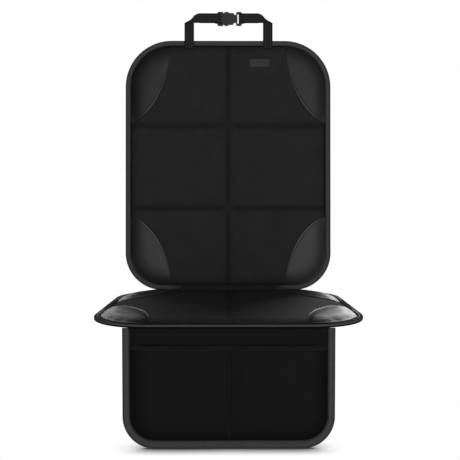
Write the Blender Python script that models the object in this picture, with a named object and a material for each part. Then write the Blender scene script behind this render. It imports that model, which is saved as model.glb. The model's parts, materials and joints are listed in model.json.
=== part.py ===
"""Car seat cover that lies under a child seat.

A quilted back panel and a seat panel are joined by a cloth fold. A flap with two pockets hangs
from the seat's front edge, and two webbing straps meet in a side-release buckle above the back.
Metres, +Z up, the front towards -Y. The origin is the middle of the seat panel's underside.
"""

import math

import bmesh
import bpy
import numpy as np
from mathutils import Vector

# Clearance and layers
GAP = 0.0003              # between neighbouring pieces
LINING = 0.0012           # grip lining under both panels
FACE = 0.0010             # woven face cloth
LEATHER = 0.0008          # corner patches
PIPING = 0.0008           # cord under each patch's inner edge
RIM_FOAM = 0.0013         # foam squeezed flat at the bound edge
PAD_FOAM = 0.0085         # foam inside the quilting
PINCH = 0.034             # width over which the foam swells from the edge
CHANNEL = 0.020           # half the width of a quilting channel
CHANNEL_DEPTH = 0.0044
SEAM_DROP = 0.0040        # of the seams across the back below its thirds

# Binding tape
TAPE = 0.0012
LIP = 0.0110              # how far the tape covers the panel
RIDGE = 0.0005            # swell of the tape between its two edges
EDGE = TAPE + 2 * GAP     # from the layers' edge to the outside of the tape
RIM = LIP + 0.0020        # flat border that the tape lies on
TUCK = TAPE + 2 * GAP     # rise of that border over the tape's rear lip
TUCK_RUN = 0.0030

# Panels
WIDTH = 0.480
BACK_HEIGHT = 0.584
BACK_TOP_RADIUS = 0.108
BACK_LOW_RADIUS = 0.087
BACK_LEAN = math.radians(2.0)
SEAT_DEPTH = 0.450
SEAT_REAR_RADIUS = 0.125
SEAT_FRONT_RADIUS = 0.108
PATCH_WIDTH = 0.108
PATCH_LONG = 0.195
PATCH_SHORT = 0.174
PATCH_POWER = 1.9         # 2 is an ellipse, less is flatter
PATCH_DOME = 0.0026       # padding under the middle of a patch

# Fold between the panels
NECK_INSET = 0.1325       # from the cover's side to the side of the fold
WEB = 0.0025
WEB_RADIUS = 0.0030
WEB_STRAIGHT = 0.0015

# Flap and pockets
FLAP_WIDTH = 0.350
FLAP_DROP = 0.1995        # from the seat's underside to the flap's lower edge
FLAP_RADIUS = 0.053
FLAP_SETBACK = 0.0030     # from the seat's front edge to the flap's face
FLAP_LINING = 0.0010
FLAP_CLOTH = 0.0015
POCKET_TOP = 0.0285       # from the flap's top edge to the pockets' mouth
POCKET_CLOTH = 0.0010
POCKET_ROOM = 0.0065
HEM = 0.008
HEM_CLOTH = 0.0006

# Headrest straps
STRAP_WIDTH = 0.0207
STRAP = 0.0015
STRAP_SPREAD = 0.0935     # from the middle to each strap's leg
STRAP_OVERLAP = 0.018     # of each leg over the back panel
STRAP_RISE = 0.0510       # from the back's top edge to the crossing strap
FOLD_RADIUS = 0.0013      # of the webbing at its 45 degree fold
WRAP_RADIUS = 0.0039      # of the webbing round a buckle bar
TAIL = 0.024              # webbing turned back and sewn behind the buckle

# Side-release buckle
BUCKLE_SHIFT = 0.0035     # its middle lies right of the cover's middle
BUCKLE_HALF = 0.0285
BUCKLE_WIDTH = 0.0327
BAR = 0.0040
SLOT_LENGTH = 0.0225
SLOT = 0.0062
PLATE = 0.0040            # thickness of the plug and of the socket's ring
SOCKET_WIDTH = 0.0257
SOCKET_THICK = 0.0086
SOCKET_MOUTH = -0.0134    # along the buckle, from its middle
SOCKET_END = 0.0120
SOCKET_WALL = 0.0022
PRONG_PLAY = 0.0004
SHOULDER = -0.0150
PRONG_ROOT = 0.0066
PAD_START = -0.0093
PAD_END = -0.0008
GUIDE_END = 0.0045
GUIDE_HALF = 0.0026

# Sewn tag
TAG_WIDTH = 0.046
TAG_HEIGHT = 0.0185
TAG_THICK = 0.0008
TAG_ACROSS = 0.073
TAG_BELOW_TOP = 0.0535    # from the back's top edge to the tag's middle

# Facets
CORNER_STEPS = 8
LONG_STEP = 0.032
SHORT_STEP = 0.005
PATCH_BORDER = 0.008      # least patch cloth inside the rim
FIELD_CELLS = 5
LIP_STEP = 0.004          # run in which the tape steps down off a layer
FOLD_STEPS = 8


def clear_scene():
    """Remove whatever the file opened with."""
    for item in list(bpy.data.objects):
        bpy.data.objects.remove(item, do_unlink=True)


def material(name, colour, roughness, metallic=0.0):
    """A plain Principled material with the part's own colour."""
    made = bpy.data.materials.new(name)
    made.use_nodes = True
    shader = made.node_tree.nodes["Principled BSDF"]
    shader.inputs["Base Color"].default_value = (*colour, 1.0)
    shader.inputs["Roughness"].default_value = roughness
    shader.inputs["Metallic"].default_value = metallic
    made.diffuse_color = (*colour, 1.0)
    return made


def add_object(name, verts, faces, finish):
    """Make one closed body from corner points and faces, with its faces pointing out."""
    mesh = bpy.data.meshes.new(name)
    body = bmesh.new()
    corners = [body.verts.new(point) for point in verts]
    for face in faces:
        body.faces.new([corners[index] for index in face])
    bmesh.ops.recalc_face_normals(body, faces=body.faces)
    body.to_mesh(mesh)
    body.free()
    mesh.materials.append(finish)
    item = bpy.data.objects.new(name, mesh)
    bpy.context.scene.collection.objects.link(item)
    return item


def smooth(share):
    """Ease from 0 to 1 with level ends."""
    held = min(max(share, 0.0), 1.0)
    return held * held * (3.0 - 2.0 * held)


class Panel:
    """A flat piece with rounded corners, in its own axes.

    u runs across, v along from the edge nearest the fold, and w out of the lining. The outline
    is that of the cloth layers, which ends inside the binding tape.
    """

    def __init__(self, width, length, low_radius, high_radius, origin, along, out):
        self.half = width / 2 - EDGE
        self.reach = length
        self.low = low_radius
        self.high = high_radius
        self.origin = Vector(origin)
        self.along = Vector(along)
        self.out = Vector(out)
        self.patches = {}
        self.seams_across = []

    def place(self, u, v, w):
        """World position of a point of the panel."""
        return self.origin + Vector((u, 0.0, 0.0)) + self.along * v + self.out * w

    def side(self, v, inset=0.0):
        """Half the width at v, of the outline moved in by inset."""
        low = max(self.low - inset, 0.0)
        high = max(self.high - inset, 0.0)
        below = max(self.low - v, 0.0) if low else 0.0
        above = max(v - (self.reach - self.high), 0.0) if high else 0.0
        drop_low = low - math.sqrt(max(low * low - below * below, 0.0))
        drop_high = high - math.sqrt(max(high * high - above * above, 0.0))
        return self.half - inset - drop_low - drop_high

    def depth(self, u, v):
        """Distance in from the outline."""
        radius = self.low if v < self.reach / 2 else self.high
        across = abs(u) - (self.half - radius)
        ahead = abs(v - self.reach / 2) - (self.reach / 2 - radius)
        outer = math.hypot(max(across, 0.0), max(ahead, 0.0))
        return radius - outer - min(max(across, ahead), 0.0)

    def inward(self, u, v, inset):
        """A point of the outline moved straight in by inset."""
        radius = self.low if v < self.reach / 2 else self.high
        across = max(abs(u) - (self.half - radius), 0.0) / radius
        ahead = (min(v - self.low, 0.0) + max(v - (self.reach - self.high), 0.0)) / radius
        return u - math.copysign(across, u) * inset, v - ahead * inset

    def patch_side(self, v):
        """Where the inner edge of the corner patches crosses the row at v."""
        nearest = self.half
        for end, length in self.patches.items():
            away = (v if end == "low" else self.reach - v) + EDGE
            if away < length:
                share = (1.0 - (away / length) ** PATCH_POWER) ** (1.0 / PATCH_POWER)
                nearest = min(nearest, self.half + EDGE - PATCH_WIDTH * share)
        return nearest


def row_stations(panel, start, marks):
    """Rows along v: even angles round the corners, the marks, and even steps between them."""
    turns = [1.0 - math.cos(math.pi / 2 * k / CORNER_STEPS) for k in range(CORNER_STEPS + 1)]
    rows = [start, panel.reach]
    if panel.low:
        rows += [panel.low * turn for turn in turns[1:]]
    rows += [panel.reach - panel.high * turn for turn in turns[1:]]
    for mark in marks:
        if all(abs(mark - row) > SHORT_STEP for row in rows):
            rows.append(mark)
    filled = [start]
    for row in sorted(rows)[1:]:
        count = math.ceil((row - filled[-1]) / LONG_STEP)
        filled += list(np.linspace(filled[-1], row, count + 1)[1:])
    return filled


def half_row(panel, v):
    """One row from the side to the middle: rim, corner patch, field and centre channel."""
    side = panel.side(v)
    width = max(side - panel.patch_side(v), PATCH_BORDER)
    if min(v, panel.reach - v) < RIM:
        rim = side - 0.4 * width
        bound = side - width
    else:
        rim = panel.side(v, RIM)
        bound = min(side - width, rim - PATCH_BORDER)
    field = [bound + (CHANNEL - bound) * (k / FIELD_CELLS) ** 1.3 for k in range(FIELD_CELLS + 1)]
    return [side, rim, (2 * rim + bound) / 3, (rim + 2 * bound) / 3, *field, CHANNEL / 2, 0.0]


PATCH_LAST = 4            # place of the patch's inner edge in half_row


def band_grid(panel, rows):
    """Points of the panel, row by row, each row running from the left side to the right."""
    grid = []
    for v in rows:
        half = half_row(panel, v)
        across = [-u for u in half] + half[-2::-1]
        grid.append([(u, v) for u in across])
    return grid


def grid_ring(grid):
    """Places of a grid's border points: first row, right side, last row, left side."""
    rows, count = len(grid), len(grid[0])
    ring = list(range(count)) + [j * count + count - 1 for j in range(1, rows)]
    ring += [(rows - 1) * count + i for i in range(count - 2, -1, -1)]
    return ring + [j * count for j in range(rows - 2, 0, -1)]


def grid_triangles(grid):
    """Triangles over a grid, with diagonals that mirror each other about the middle."""
    count = len(grid[0])
    middle = (count - 1) / 2 if grid[0][0][0] < 0 < grid[0][-1][0] else None
    triangles = []
    for j in range(len(grid) - 1):
        for i in range(count - 1):
            a, b, c, d = j * count + i, j * count + i + 1, (j + 1) * count + i + 1, (j + 1) * count + i
            left = i < middle if middle is not None else grid[j][i][0] < 0
            triangles += ([a, b, c], [a, c, d]) if left else ([a, b, d], [b, c, d])
    return triangles


def walls(ring, below):
    """Faces between two loops of equal length."""
    around = zip(ring, ring[1:] + ring[:1], below[1:] + below[:1], below)
    return [list(face) for face in around]


def shell(name, panel, grid, low, high, finish):
    """The solid between two heights over a grid."""
    points = [point for row in grid for point in row]
    size = len(points)
    verts = [panel.place(*point, high(*point)) for point in points]
    verts += [panel.place(*point, low(*point)) for point in points]
    triangles, ring = grid_triangles(grid), grid_ring(grid)
    faces = triangles + [[index + size for index in reversed(face)] for face in triangles]
    faces += walls(ring, [index + size for index in ring])
    return add_object(name, verts, faces, finish)


def cushion(name, panel, grid, loops, high, finish):
    """The solid from the loops of its underside up to a height over a grid."""
    verts = [panel.place(*point, high(*point)) for row in grid for point in row]
    faces, above = grid_triangles(grid), grid_ring(grid)
    for loop in loops:
        below = list(range(len(verts), len(verts) + len(loop)))
        verts += [panel.place(*point) for point in loop]
        faces += walls(above, below)
        above = below
    return add_object(name, verts, [*faces, above], finish)


def tucked_loops(panel, ring, height):
    """Loops of a side that is raised over the tape's rear lip and level inside it."""
    insets = ((0.0, TUCK), (RIM - GAP, TUCK), (RIM + TUCK_RUN, 0.0))
    return [[(*panel.inward(*point, inset), height + rise) for point in ring] for inset, rise in insets]


def plate(name, panel, loop, low, high, finish):
    """A flat solid between two heights inside a loop of (u, v) points."""
    verts = [panel.place(u, v, low) for u, v in loop] + [panel.place(u, v, high) for u, v in loop]
    count = len(loop)
    faces = [list(range(count)), list(range(count, 2 * count))]
    for here in range(count):
        after = (here + 1) % count
        faces.append([here, after, after + count, here + count])
    return add_object(name, verts, faces, finish)


def straight(before, here, after):
    """Whether three path points lie on one line at one height."""
    turn = (here[0] - before[0]) * (after[1] - here[1]) - (here[1] - before[1]) * (after[0] - here[0])
    return abs(turn) < 1e-9 and before[2] == here[2] == after[2]


def stepped_path(path):
    """Let the tape step down just past the end of a layer, and drop needless points."""
    points = [path[0]]
    for before, here in zip(path, path[1:]):
        run = math.dist(before[:2], here[:2])
        if before[2] != here[2] and run > 2 * LIP_STEP:
            share = LIP_STEP / run if before[2] > here[2] else 1.0 - LIP_STEP / run
            u = before[0] + (here[0] - before[0]) * share
            v = before[1] + (here[1] - before[1]) * share
            points.append((u, v, min(before[2], here[2])))
        points.append(here)
    inner = [p for b, p, a in zip(points, points[1:], points[2:]) if not straight(b, p, a)]
    return [points[0], *inner, points[-1]]


def outward_normals(path):
    """Unit normals in the panel, to the right of the path's direction."""
    steps = [(b[0] - a[0], b[1] - a[1]) for a, b in zip(path, path[1:])]
    units = [(dv / math.hypot(du, dv), -du / math.hypot(du, dv)) for du, dv in steps]
    normals = []
    for before, after in zip([units[0], *units], [*units, units[-1]]):
        nu, nv = before[0] + after[0], before[1] + after[1]
        scale = 2.0 / (nu * nu + nv * nv)
        normals.append((nu * scale, nv * scale))
    return normals


def tape_section(bottom, top):
    """Section of the binding as (outward, height): a U open towards the panel."""
    return [
        (-LIP, top + GAP),
        (-LIP, top + GAP + TAPE),
        (-LIP / 2, top + GAP + TAPE + RIDGE),
        (0.0, top + GAP + TAPE),
        (EDGE, top - TAPE),
        (EDGE, bottom + TAPE),
        (0.0, bottom - GAP - TAPE),
        (-LIP, bottom - GAP - TAPE),
        (-LIP, bottom - GAP),
        (EDGE - TAPE, bottom - GAP),
        (EDGE - TAPE, top + GAP),
    ]


def binding(name, panel, path, bottom, finish):
    """Tape folded round the edge along a path of (u, v, height of the layers' front)."""
    points = stepped_path(path)
    verts = []
    for (u, v, top), (nu, nv) in zip(points, outward_normals(points)):
        verts += [panel.place(u + nu * n, v + nv * n, w) for n, w in tape_section(bottom, top)]
    return add_object(name, verts, swept_faces(len(points), len(verts) // len(points)), finish)


def swept_faces(stations, size):
    """Faces of a closed section carried along a path, with both ends capped."""
    faces = [list(range(size)), list(range((stations - 1) * size, stations * size))]
    for k in range(stations - 1):
        for m in range(size):
            here, after = k * size + m, k * size + (m + 1) % size
            faces.append([here, after, after + size, here + size])
    return faces


def foam_height(panel):
    """Height of the foam's upper side: flat at the rim, swelling inwards, grooved at seams."""
    def height(u, v):
        rise = smooth((panel.depth(u, v) - RIM) / PINCH)
        nearest = min([abs(u)] + [abs(v - seam) for seam in panel.seams_across])
        groove = CHANNEL_DEPTH * (1.0 - smooth(nearest / CHANNEL))
        swell = PAD_FOAM - RIM_FOAM - TUCK - groove
        return TUCK + LINING + GAP + RIM_FOAM + swell * rise
    return height


def rim_height():
    """Height of the layers' front at the bound edge."""
    return TUCK + LINING + GAP + RIM_FOAM + GAP + FACE


def raised(height, step):
    """A height function lifted by a step."""
    return lambda u, v: height(u, v) + step


def patch_top(panel, height, grid):
    """Upper side of a patch: piping along its inner edge, and a padded dome inside it."""
    edges = {(abs(row[PATCH_LAST][0]), row[0][1]) for row in grid}

    def top(u, v):
        ridge = PIPING if (abs(u), v) in edges else 0.0
        inside = smooth((abs(u) - panel.patch_side(v)) / PINCH)
        dome = PATCH_DOME * inside * smooth((panel.depth(u, v) - RIM) / PINCH)
        return height(u, v) + LEATHER + dome + ridge * smooth(2 * panel.depth(u, v) / RIM - 3.0)
    return top


def patch_rows(panel, rows, end):
    """First and last row of the patches at one end of a panel."""
    length = panel.patches[end] - EDGE
    tip = length if end == "low" else panel.reach - length
    nearest = min(range(len(rows)), key=lambda k: abs(rows[k] - tip))
    return (0, nearest) if end == "low" else (nearest, len(rows) - 1)


def panel_edge_path(grid, spans):
    """Binding path from one side of the fold, round the panel, to the other side."""
    last = len(grid[0]) - 1
    lifted = {j for first, final in spans for j in range(first, final + 1)}
    neck, lift, rim_top = neck_half(), GAP + LEATHER, rim_height()

    def point(j, i):
        covered = j in lifted and min(i, last - i) <= PATCH_LAST
        return (*grid[j][i], rim_top + (lift if covered else 0.0))
    across = [i for i in range(last + 1) if grid[0][i][0] > neck + SHORT_STEP]
    start_top = rim_top + (lift if grid[0][last - PATCH_LAST][0] < neck else 0.0)
    right = [(neck, grid[0][0][1], start_top)] + [point(0, i) for i in across]
    right += [point(j, last) for j in range(1, len(grid))]
    top = [point(len(grid) - 1, i) for i in range(last - 1, 0, -1)]
    left = [(-u, v, w) for u, v, w in reversed(right)]
    return right + top + left


def neck_half():
    """Half the width of the gap that both bindings leave for the fold."""
    return WIDTH / 2 - NECK_INSET


def quilted_panel(prefix, panel, ends, cloth):
    """Lining, foam, face cloth, corner patches and binding of one panel."""
    tips = {end: length - EDGE for end, length in panel.patches.items()}
    marks = [tips["low"], panel.reach - tips["high"]]
    for seam in panel.seams_across:
        marks = [seam + CHANNEL * share for share in (0.0, -0.5, 0.5, -1.0, 1.0)] + marks
    rows = row_stations(panel, 0.0, marks)
    grid = band_grid(panel, rows)
    points = [point for row in grid for point in row]
    ring = [points[place] for place in grid_ring(grid)]
    foam = foam_height(panel)
    face_low = raised(foam, GAP)
    face_top = raised(face_low, FACE)
    loops = tucked_loops(panel, ring, 0.0)[::-1] + tucked_loops(panel, ring, LINING)
    verts = [panel.place(*point) for loop in loops for point in loop]
    add_object(prefix + "_lining", verts, swept_faces(len(loops), len(ring)), cloth["lining"])
    under = tucked_loops(panel, ring, LINING + GAP)
    cushion(prefix + "_foam", panel, grid, under, foam, cloth["foam"])
    shell(prefix + "_face", panel, grid, face_low, face_top, cloth["face"])
    patch_low = raised(face_top, GAP)
    high = patch_top(panel, patch_low, grid)
    spans = []
    for end, label in ends.items():
        first, final = patch_rows(panel, rows, end)
        spans.append((first, final))
        part = grid[first:final + 1]
        left = [row[:PATCH_LAST + 1] for row in part]
        right = [row[-PATCH_LAST - 1:] for row in part]
        for side, cells in (("left", left), ("right", right)):
            name = f"{prefix}_corner_{label}_{side}"
            shell(name, panel, cells, patch_low, high, cloth["leather"])
    binding(prefix + "_binding", panel, panel_edge_path(grid, spans), TUCK, cloth["binding"])


def fold_path():
    """Middle line of the fold as (y, z, heading): from the seat's edge up to the back's."""
    start, middle = SEAT_DEPTH / 2 - EDGE + GAP, fold_middle()
    points = [(start, middle, 0.0)]
    for k in range(CORNER_STEPS + 1):
        turn = (math.pi / 2 - BACK_LEAN) * k / CORNER_STEPS
        y = start + WEB_STRAIGHT + WEB_RADIUS * math.sin(turn)
        points.append((y, middle + WEB_RADIUS * (1.0 - math.cos(turn)), turn))
    y, z, turn = points[-1]
    points.append((y + WEB_STRAIGHT * math.cos(turn), z + WEB_STRAIGHT * math.sin(turn), turn))
    return points


def fold_middle():
    """Height of the fold's middle line in both panels: half way up their bound edge."""
    return (TUCK + rim_height()) / 2


def fold_web(finish):
    """The curved strip of cloth that joins the seat panel to the back panel."""
    half = neck_half() - GAP
    points = fold_path()
    verts = []
    for y, z, turn in points:
        dy, dz = -math.sin(turn) * WEB / 2, math.cos(turn) * WEB / 2
        verts += [(-half, y - dy, z - dz), (half, y - dy, z - dz)]
        verts += [(half, y + dy, z + dz), (-half, y + dy, z + dz)]
    return add_object("fold_web", verts, swept_faces(len(points), 4), finish)


def back_panel():
    """The upright panel, standing on the end of the fold and leaning back."""
    along = Vector((0.0, math.sin(BACK_LEAN), math.cos(BACK_LEAN)))
    out = Vector((0.0, -math.cos(BACK_LEAN), math.sin(BACK_LEAN)))
    y, z, _ = fold_path()[-1]
    origin = Vector((0.0, y, z)) - out * fold_middle() + along * GAP
    reach = BACK_HEIGHT - 2 * EDGE
    panel = Panel(WIDTH, reach, BACK_LOW_RADIUS - EDGE, BACK_TOP_RADIUS - EDGE, origin, along, out)
    panel.patches = {"low": PATCH_SHORT, "high": PATCH_LONG}
    panel.seams_across = [reach * share / 3 - SEAM_DROP for share in (1, 2)]
    return panel


def seat_panel():
    """The level panel, from its rear edge forwards."""
    origin = (0.0, SEAT_DEPTH / 2 - EDGE, 0.0)
    radii = (SEAT_REAR_RADIUS - EDGE, SEAT_FRONT_RADIUS - EDGE)
    panel = Panel(WIDTH, SEAT_DEPTH - 2 * EDGE, *radii, origin, (0, -1, 0), (0, 0, 1))
    panel.patches = {"low": PATCH_LONG, "high": PATCH_LONG}
    return panel


def flap_top_height():
    """Height of the flap's own layers, from the back of its lining."""
    return FLAP_LINING + GAP + FLAP_CLOTH


def flap_panel_frame():
    """The hanging flap, from its top edge under the seat's binding downwards."""
    front = flap_top_height() + GAP + POCKET_CLOTH + GAP + TAPE
    origin = (0.0, -SEAT_DEPTH / 2 + FLAP_SETBACK + front, 0.0)
    radius = FLAP_RADIUS - EDGE
    return Panel(FLAP_WIDTH, FLAP_DROP - EDGE, 0.0, radius, origin, (0, 0, -1), (0, -1, 0))


def pocket_inside(panel):
    """Height of the pockets' inner side: full at the mouth, sewn down at sides and middle."""
    def height(u, v):
        rise = smooth((panel.depth(u, max(v, panel.reach / 2)) - RIM) / PINCH)
        room = POCKET_ROOM * rise * smooth(abs(u) / (1.5 * CHANNEL))
        return flap_top_height() + GAP + room
    return height


def pocket_hem(panel, grid, inside, finish):
    """Folded hem along the pockets' mouth: a strip in front and a lip over the edge."""
    limit = panel.half - LIP - GAP
    row = [u for u, _ in grid[0] if abs(u) < limit - SHORT_STEP]
    verts = []
    for u in [-limit, *row, limit]:
        low = inside(u, POCKET_TOP)
        front = low + POCKET_CLOTH + GAP
        section = [(HEM, front), (HEM, front + HEM_CLOTH), (-GAP - HEM_CLOTH, front + HEM_CLOTH)]
        section += [(-GAP - HEM_CLOTH, low), (-GAP, low), (-GAP, front)]
        verts += [panel.place(u, POCKET_TOP + v, w) for v, w in section]
    return add_object("pocket_hem", verts, swept_faces(len(row) + 2, 6), finish)


def flap(panel, cloth):
    """The flap's lining and cloth, the two pockets in one front layer, the hem and the tape."""
    rows = row_stations(panel, POCKET_TOP, [POCKET_TOP + HEM])
    grid = band_grid(panel, rows)
    right = [row[-1] for row in grid]
    left = [row[0] for row in grid]
    ring = [(-panel.half, 0.0), (panel.half, 0.0), *right, *grid[-1][-2:0:-1], *left[::-1]]
    cloth_low = FLAP_LINING + GAP
    plate("flap_lining", panel, ring, 0.0, FLAP_LINING, cloth["lining"])
    plate("flap_panel", panel, ring, cloth_low, flap_top_height(), cloth["face"])
    inside = pocket_inside(panel)
    outside = raised(inside, POCKET_CLOTH)
    shell("flap_pocket", panel, grid, inside, outside, cloth["pocket"])
    pocket_hem(panel, grid, inside, cloth["pocket"])
    covered = flap_top_height() + GAP + POCKET_CLOTH
    path = [(panel.half, 0.0, flap_top_height())]
    path += [(u, v, covered) for u, v in right]
    path += [(u, v, covered) for u, v in grid[-1][-2:0:-1]]
    path += [(-u, v, top) for u, v, top in reversed(path[:len(right) + 1])]
    binding("flap_binding", panel, path, 0.0, cloth["binding"])


def strap_stations(side, lane, start, bar):
    """Edges of the webbing from its sewn end to its turned tail.

    Each station is (left edge, right edge, normal) in the back panel's axes. The leg rises,
    turns inwards over a fold at 45 degrees and passes in front of the buckle's bar, then
    round it and back.
    """
    half = STRAP_WIDTH / 2
    centre = STRAP_SPREAD
    stations = [((centre - half, start, lane), (centre + half, start, lane), (0, 0, 1))]
    root = 1.0 / math.sqrt(2.0)
    bend = math.pi * FOLD_RADIUS
    crease = crossing_height() - bend * root
    for k in range(FOLD_STEPS + 1):
        angle = math.pi * k / FOLD_STEPS
        along = FOLD_RADIUS * math.sin(angle)
        lift = FOLD_RADIUS * (1.0 - math.cos(angle))
        flat = bend * k / FOLD_STEPS
        edges = []
        for t in (-half, half):
            slide = flat - t / root
            u = centre + (along - slide) * root
            edges.append((u, crease + (along + slide) * root, lane + lift))
        stations.append((*edges, (-math.sin(angle) * root, -math.sin(angle) * root, math.cos(angle))))
    stations += band_stations(lane + 2 * FOLD_RADIUS, bar)
    return [tuple((side * p[0], p[1], p[2]) for p in station) for station in stations]


def crossing_height():
    """Height of the crossing strap's middle in the back panel's axes."""
    return BACK_HEIGHT - EDGE + STRAP_RISE


def band_stations(front, bar):
    """The crossing strap up to the bar, round it and back along its own rear side."""
    low, high = crossing_height() - STRAP_WIDTH / 2, crossing_height() + STRAP_WIDTH / 2
    centre = front - WRAP_RADIUS
    path = []
    for k in range(FOLD_STEPS + 2):
        angle = math.pi * k / (FOLD_STEPS + 1)
        path.append((bar - WRAP_RADIUS * math.sin(angle), centre + WRAP_RADIUS * math.cos(angle), angle))
    rest = front - STRAP - GAP
    away = bar + TAIL / 2
    slope = math.atan2(rest - (centre - WRAP_RADIUS), TAIL / 2)
    path.append((away, rest, math.pi + slope))
    path.append((bar + TAIL, rest, math.pi))
    stations = []
    for u, w, angle in path:
        normal = (math.sin(angle), 0.0, -math.cos(angle))
        stations.append(((u, high, w), (u, low, w), normal))
    return stations


def webbing(name, panel, stations, finish):
    """A flat strap of even thickness through its stations."""
    verts = []
    for first, second, normal in stations:
        for point, sense in ((first, -1), (second, -1), (second, 1), (first, 1)):
            shifted = [point[axis] + sense * normal[axis] * STRAP / 2 for axis in range(3)]
            verts.append(panel.place(*shifted))
    return add_object(name, verts, swept_faces(len(stations), 4), finish)


def extruded(name, panel, centre, outline, half_thick, finish):
    """A buckle piece cut from plate: an outline of (along, up) points with a thickness."""
    u0, v0, w0 = centre
    loop = [(u0 + a, v0 + b) for a, b in outline]
    return plate(name, panel, loop, w0 - half_thick, w0 + half_thick, finish)


def both_sides(upper):
    """Close an outline by mirroring its upper half."""
    return upper + [(a, -b) for a, b in reversed(upper)]


def box_outline(start, end, half):
    """A rectangle along the buckle."""
    return [(start, -half), (end, -half), (end, half), (start, half)]


def boolean(item, cutter, operation):
    """Cut or join a buckle piece with a hidden helper."""
    change = item.modifiers.new(cutter.name, "BOOLEAN")
    change.operation = operation
    change.object = cutter
    cutter.hide_render = True
    cutter.display_type = "WIRE"


def buckle_plug(panel, centre, finish):
    """Plug: strap bar and slot, two sprung prongs with finger pads, and a centre guide."""
    wide = BUCKLE_WIDTH / 2
    neck = SOCKET_WIDTH / 2 - SOCKET_WALL - PRONG_PLAY
    corner = BAR / 2
    tip = neck - 0.0004
    upper = [
        (-BUCKLE_HALF, wide - corner), (-BUCKLE_HALF + corner, wide),
        (SHOULDER - corner / 2, wide), (SHOULDER, wide - corner / 2),
        (SHOULDER, neck), (PAD_START - GAP, neck), (PAD_START, wide - corner),
        (PAD_START + corner / 2, wide), (PAD_END - corner, wide - corner / 4),
        (PAD_END, wide - 2 * corner), (PAD_END, tip), (PAD_END - 2 * corner, neck - corner / 2),
        (SHOULDER, PRONG_ROOT), (SHOULDER, GUIDE_HALF),
        (GUIDE_END - corner, GUIDE_HALF), (GUIDE_END, GUIDE_HALF / 2),
    ]
    plug = extruded("buckle_plug", panel, centre, both_sides(upper), PLATE / 2, finish)
    start = -BUCKLE_HALF + BAR
    slot = extruded("plug_slot_cutter", panel, centre,
                    box_outline(start, start + SLOT, SLOT_LENGTH / 2), PLATE, finish)
    boolean(plug, slot, "DIFFERENCE")
    return plug


def buckle_socket(panel, centre, finish):
    """Socket: hollow body open at its mouth and both sides, a neck, and the strap's ring."""
    half, ring = SOCKET_WIDTH / 2, BUCKLE_WIDTH / 2 - 0.0003
    corner = BAR / 2
    body_upper = [(SOCKET_MOUTH, half - corner / 2), (SOCKET_MOUTH + corner / 2, half),
                  (SOCKET_END - 2 * corner, half), (SOCKET_END, half - 2 * corner)]
    socket = extruded("buckle_socket", panel, centre, both_sides(body_upper), SOCKET_THICK / 2, finish)
    ring_start = BUCKLE_HALF - BAR - SLOT - 1.7 * corner
    ring_upper = [(SOCKET_END - 2 * corner, half - 2 * corner - GAP), (ring_start, half - 2 * corner),
                  (ring_start + GAP, ring - corner), (ring_start + corner, ring),
                  (BUCKLE_HALF - corner, ring), (BUCKLE_HALF, ring - corner)]
    loop = extruded("socket_ring_helper", panel, centre, both_sides(ring_upper), PLATE / 2, finish)
    boolean(socket, loop, "UNION")
    inner = half - SOCKET_WALL
    room = PLATE / 2 + PRONG_PLAY
    window_start, window_end = PAD_START - GAP, PAD_END + 1.5 * PRONG_PLAY
    hollow_upper = [(SOCKET_MOUTH - corner, inner), (window_start, inner),
                    (window_start, BUCKLE_WIDTH), (window_end, BUCKLE_WIDTH),
                    (window_end, inner), (GUIDE_END + 2 * GAP, inner)]
    hollow = extruded("socket_hollow_cutter", panel, centre, both_sides(hollow_upper), room, finish)
    end = BUCKLE_HALF - BAR
    slot = extruded("socket_slot_cutter", panel, centre,
                    box_outline(end - SLOT, end, SLOT_LENGTH / 2), SOCKET_THICK, finish)
    boolean(socket, hollow, "DIFFERENCE")
    boolean(socket, slot, "DIFFERENCE")
    return socket


def headrest_straps(panel, cloth):
    """Both straps and the buckle that joins them."""
    lane = rim_height() + GAP + TAPE + RIDGE + GAP + STRAP / 2
    start = panel.reach + EDGE - STRAP_OVERLAP
    bar = BUCKLE_HALF - BAR / 2
    for side, name in ((-1, "strap_left"), (1, "strap_right")):
        stations = strap_stations(side, lane, start, bar + side * BUCKLE_SHIFT)
        webbing(name, panel, stations, cloth["webbing"])
    front = lane + 2 * FOLD_RADIUS
    centre = (BUCKLE_SHIFT, crossing_height(), front - WRAP_RADIUS)
    buckle_plug(panel, centre, cloth["plastic"])
    buckle_socket(panel, centre, cloth["plastic"])


def sewn_tag(panel, finish):
    """A bare tag sewn on the face cloth at the upper right."""
    low = LINING + PAD_FOAM + FACE + 3 * GAP
    middle = panel.reach + EDGE - TAG_BELOW_TOP
    loop = [(TAG_ACROSS + su * TAG_WIDTH / 2, middle + sv * TAG_HEIGHT / 2)
            for su, sv in ((-1, -1), (1, -1), (1, 1), (-1, 1))]
    return plate("sewn_tag", panel, loop, low, low + TAG_THICK, finish)


def finishes():
    """The part's materials."""
    return {
        "lining": material("grip_lining", (0.020, 0.020, 0.021), 0.8),
        "foam": material("foam", (0.10, 0.10, 0.10), 0.9),
        "face": material("woven_cloth", (0.012, 0.012, 0.013), 0.75),
        "pocket": material("pocket_cloth", (0.009, 0.009, 0.010), 0.75),
        "leather": material("smooth_leatherette", (0.018, 0.018, 0.019), 0.4),
        "binding": material("binding_tape", (0.040, 0.040, 0.042), 0.7),
        "webbing": material("strap_webbing", (0.022, 0.022, 0.023), 0.7),
        "plastic": material("buckle_plastic", (0.020, 0.020, 0.021), 0.4),
        "tag": material("tag_fabric", (0.045, 0.045, 0.043), 0.7),
    }


def main():
    """Build the whole cover."""
    clear_scene()
    cloth = finishes()
    back = back_panel()
    quilted_panel("seat", seat_panel(), {"low": "rear", "high": "front"}, cloth)
    quilted_panel("back", back, {"low": "bottom", "high": "top"}, cloth)
    fold_web(cloth["face"])
    flap(flap_panel_frame(), cloth)
    headrest_straps(back, cloth)
    sewn_tag(back, cloth["tag"])


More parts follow.
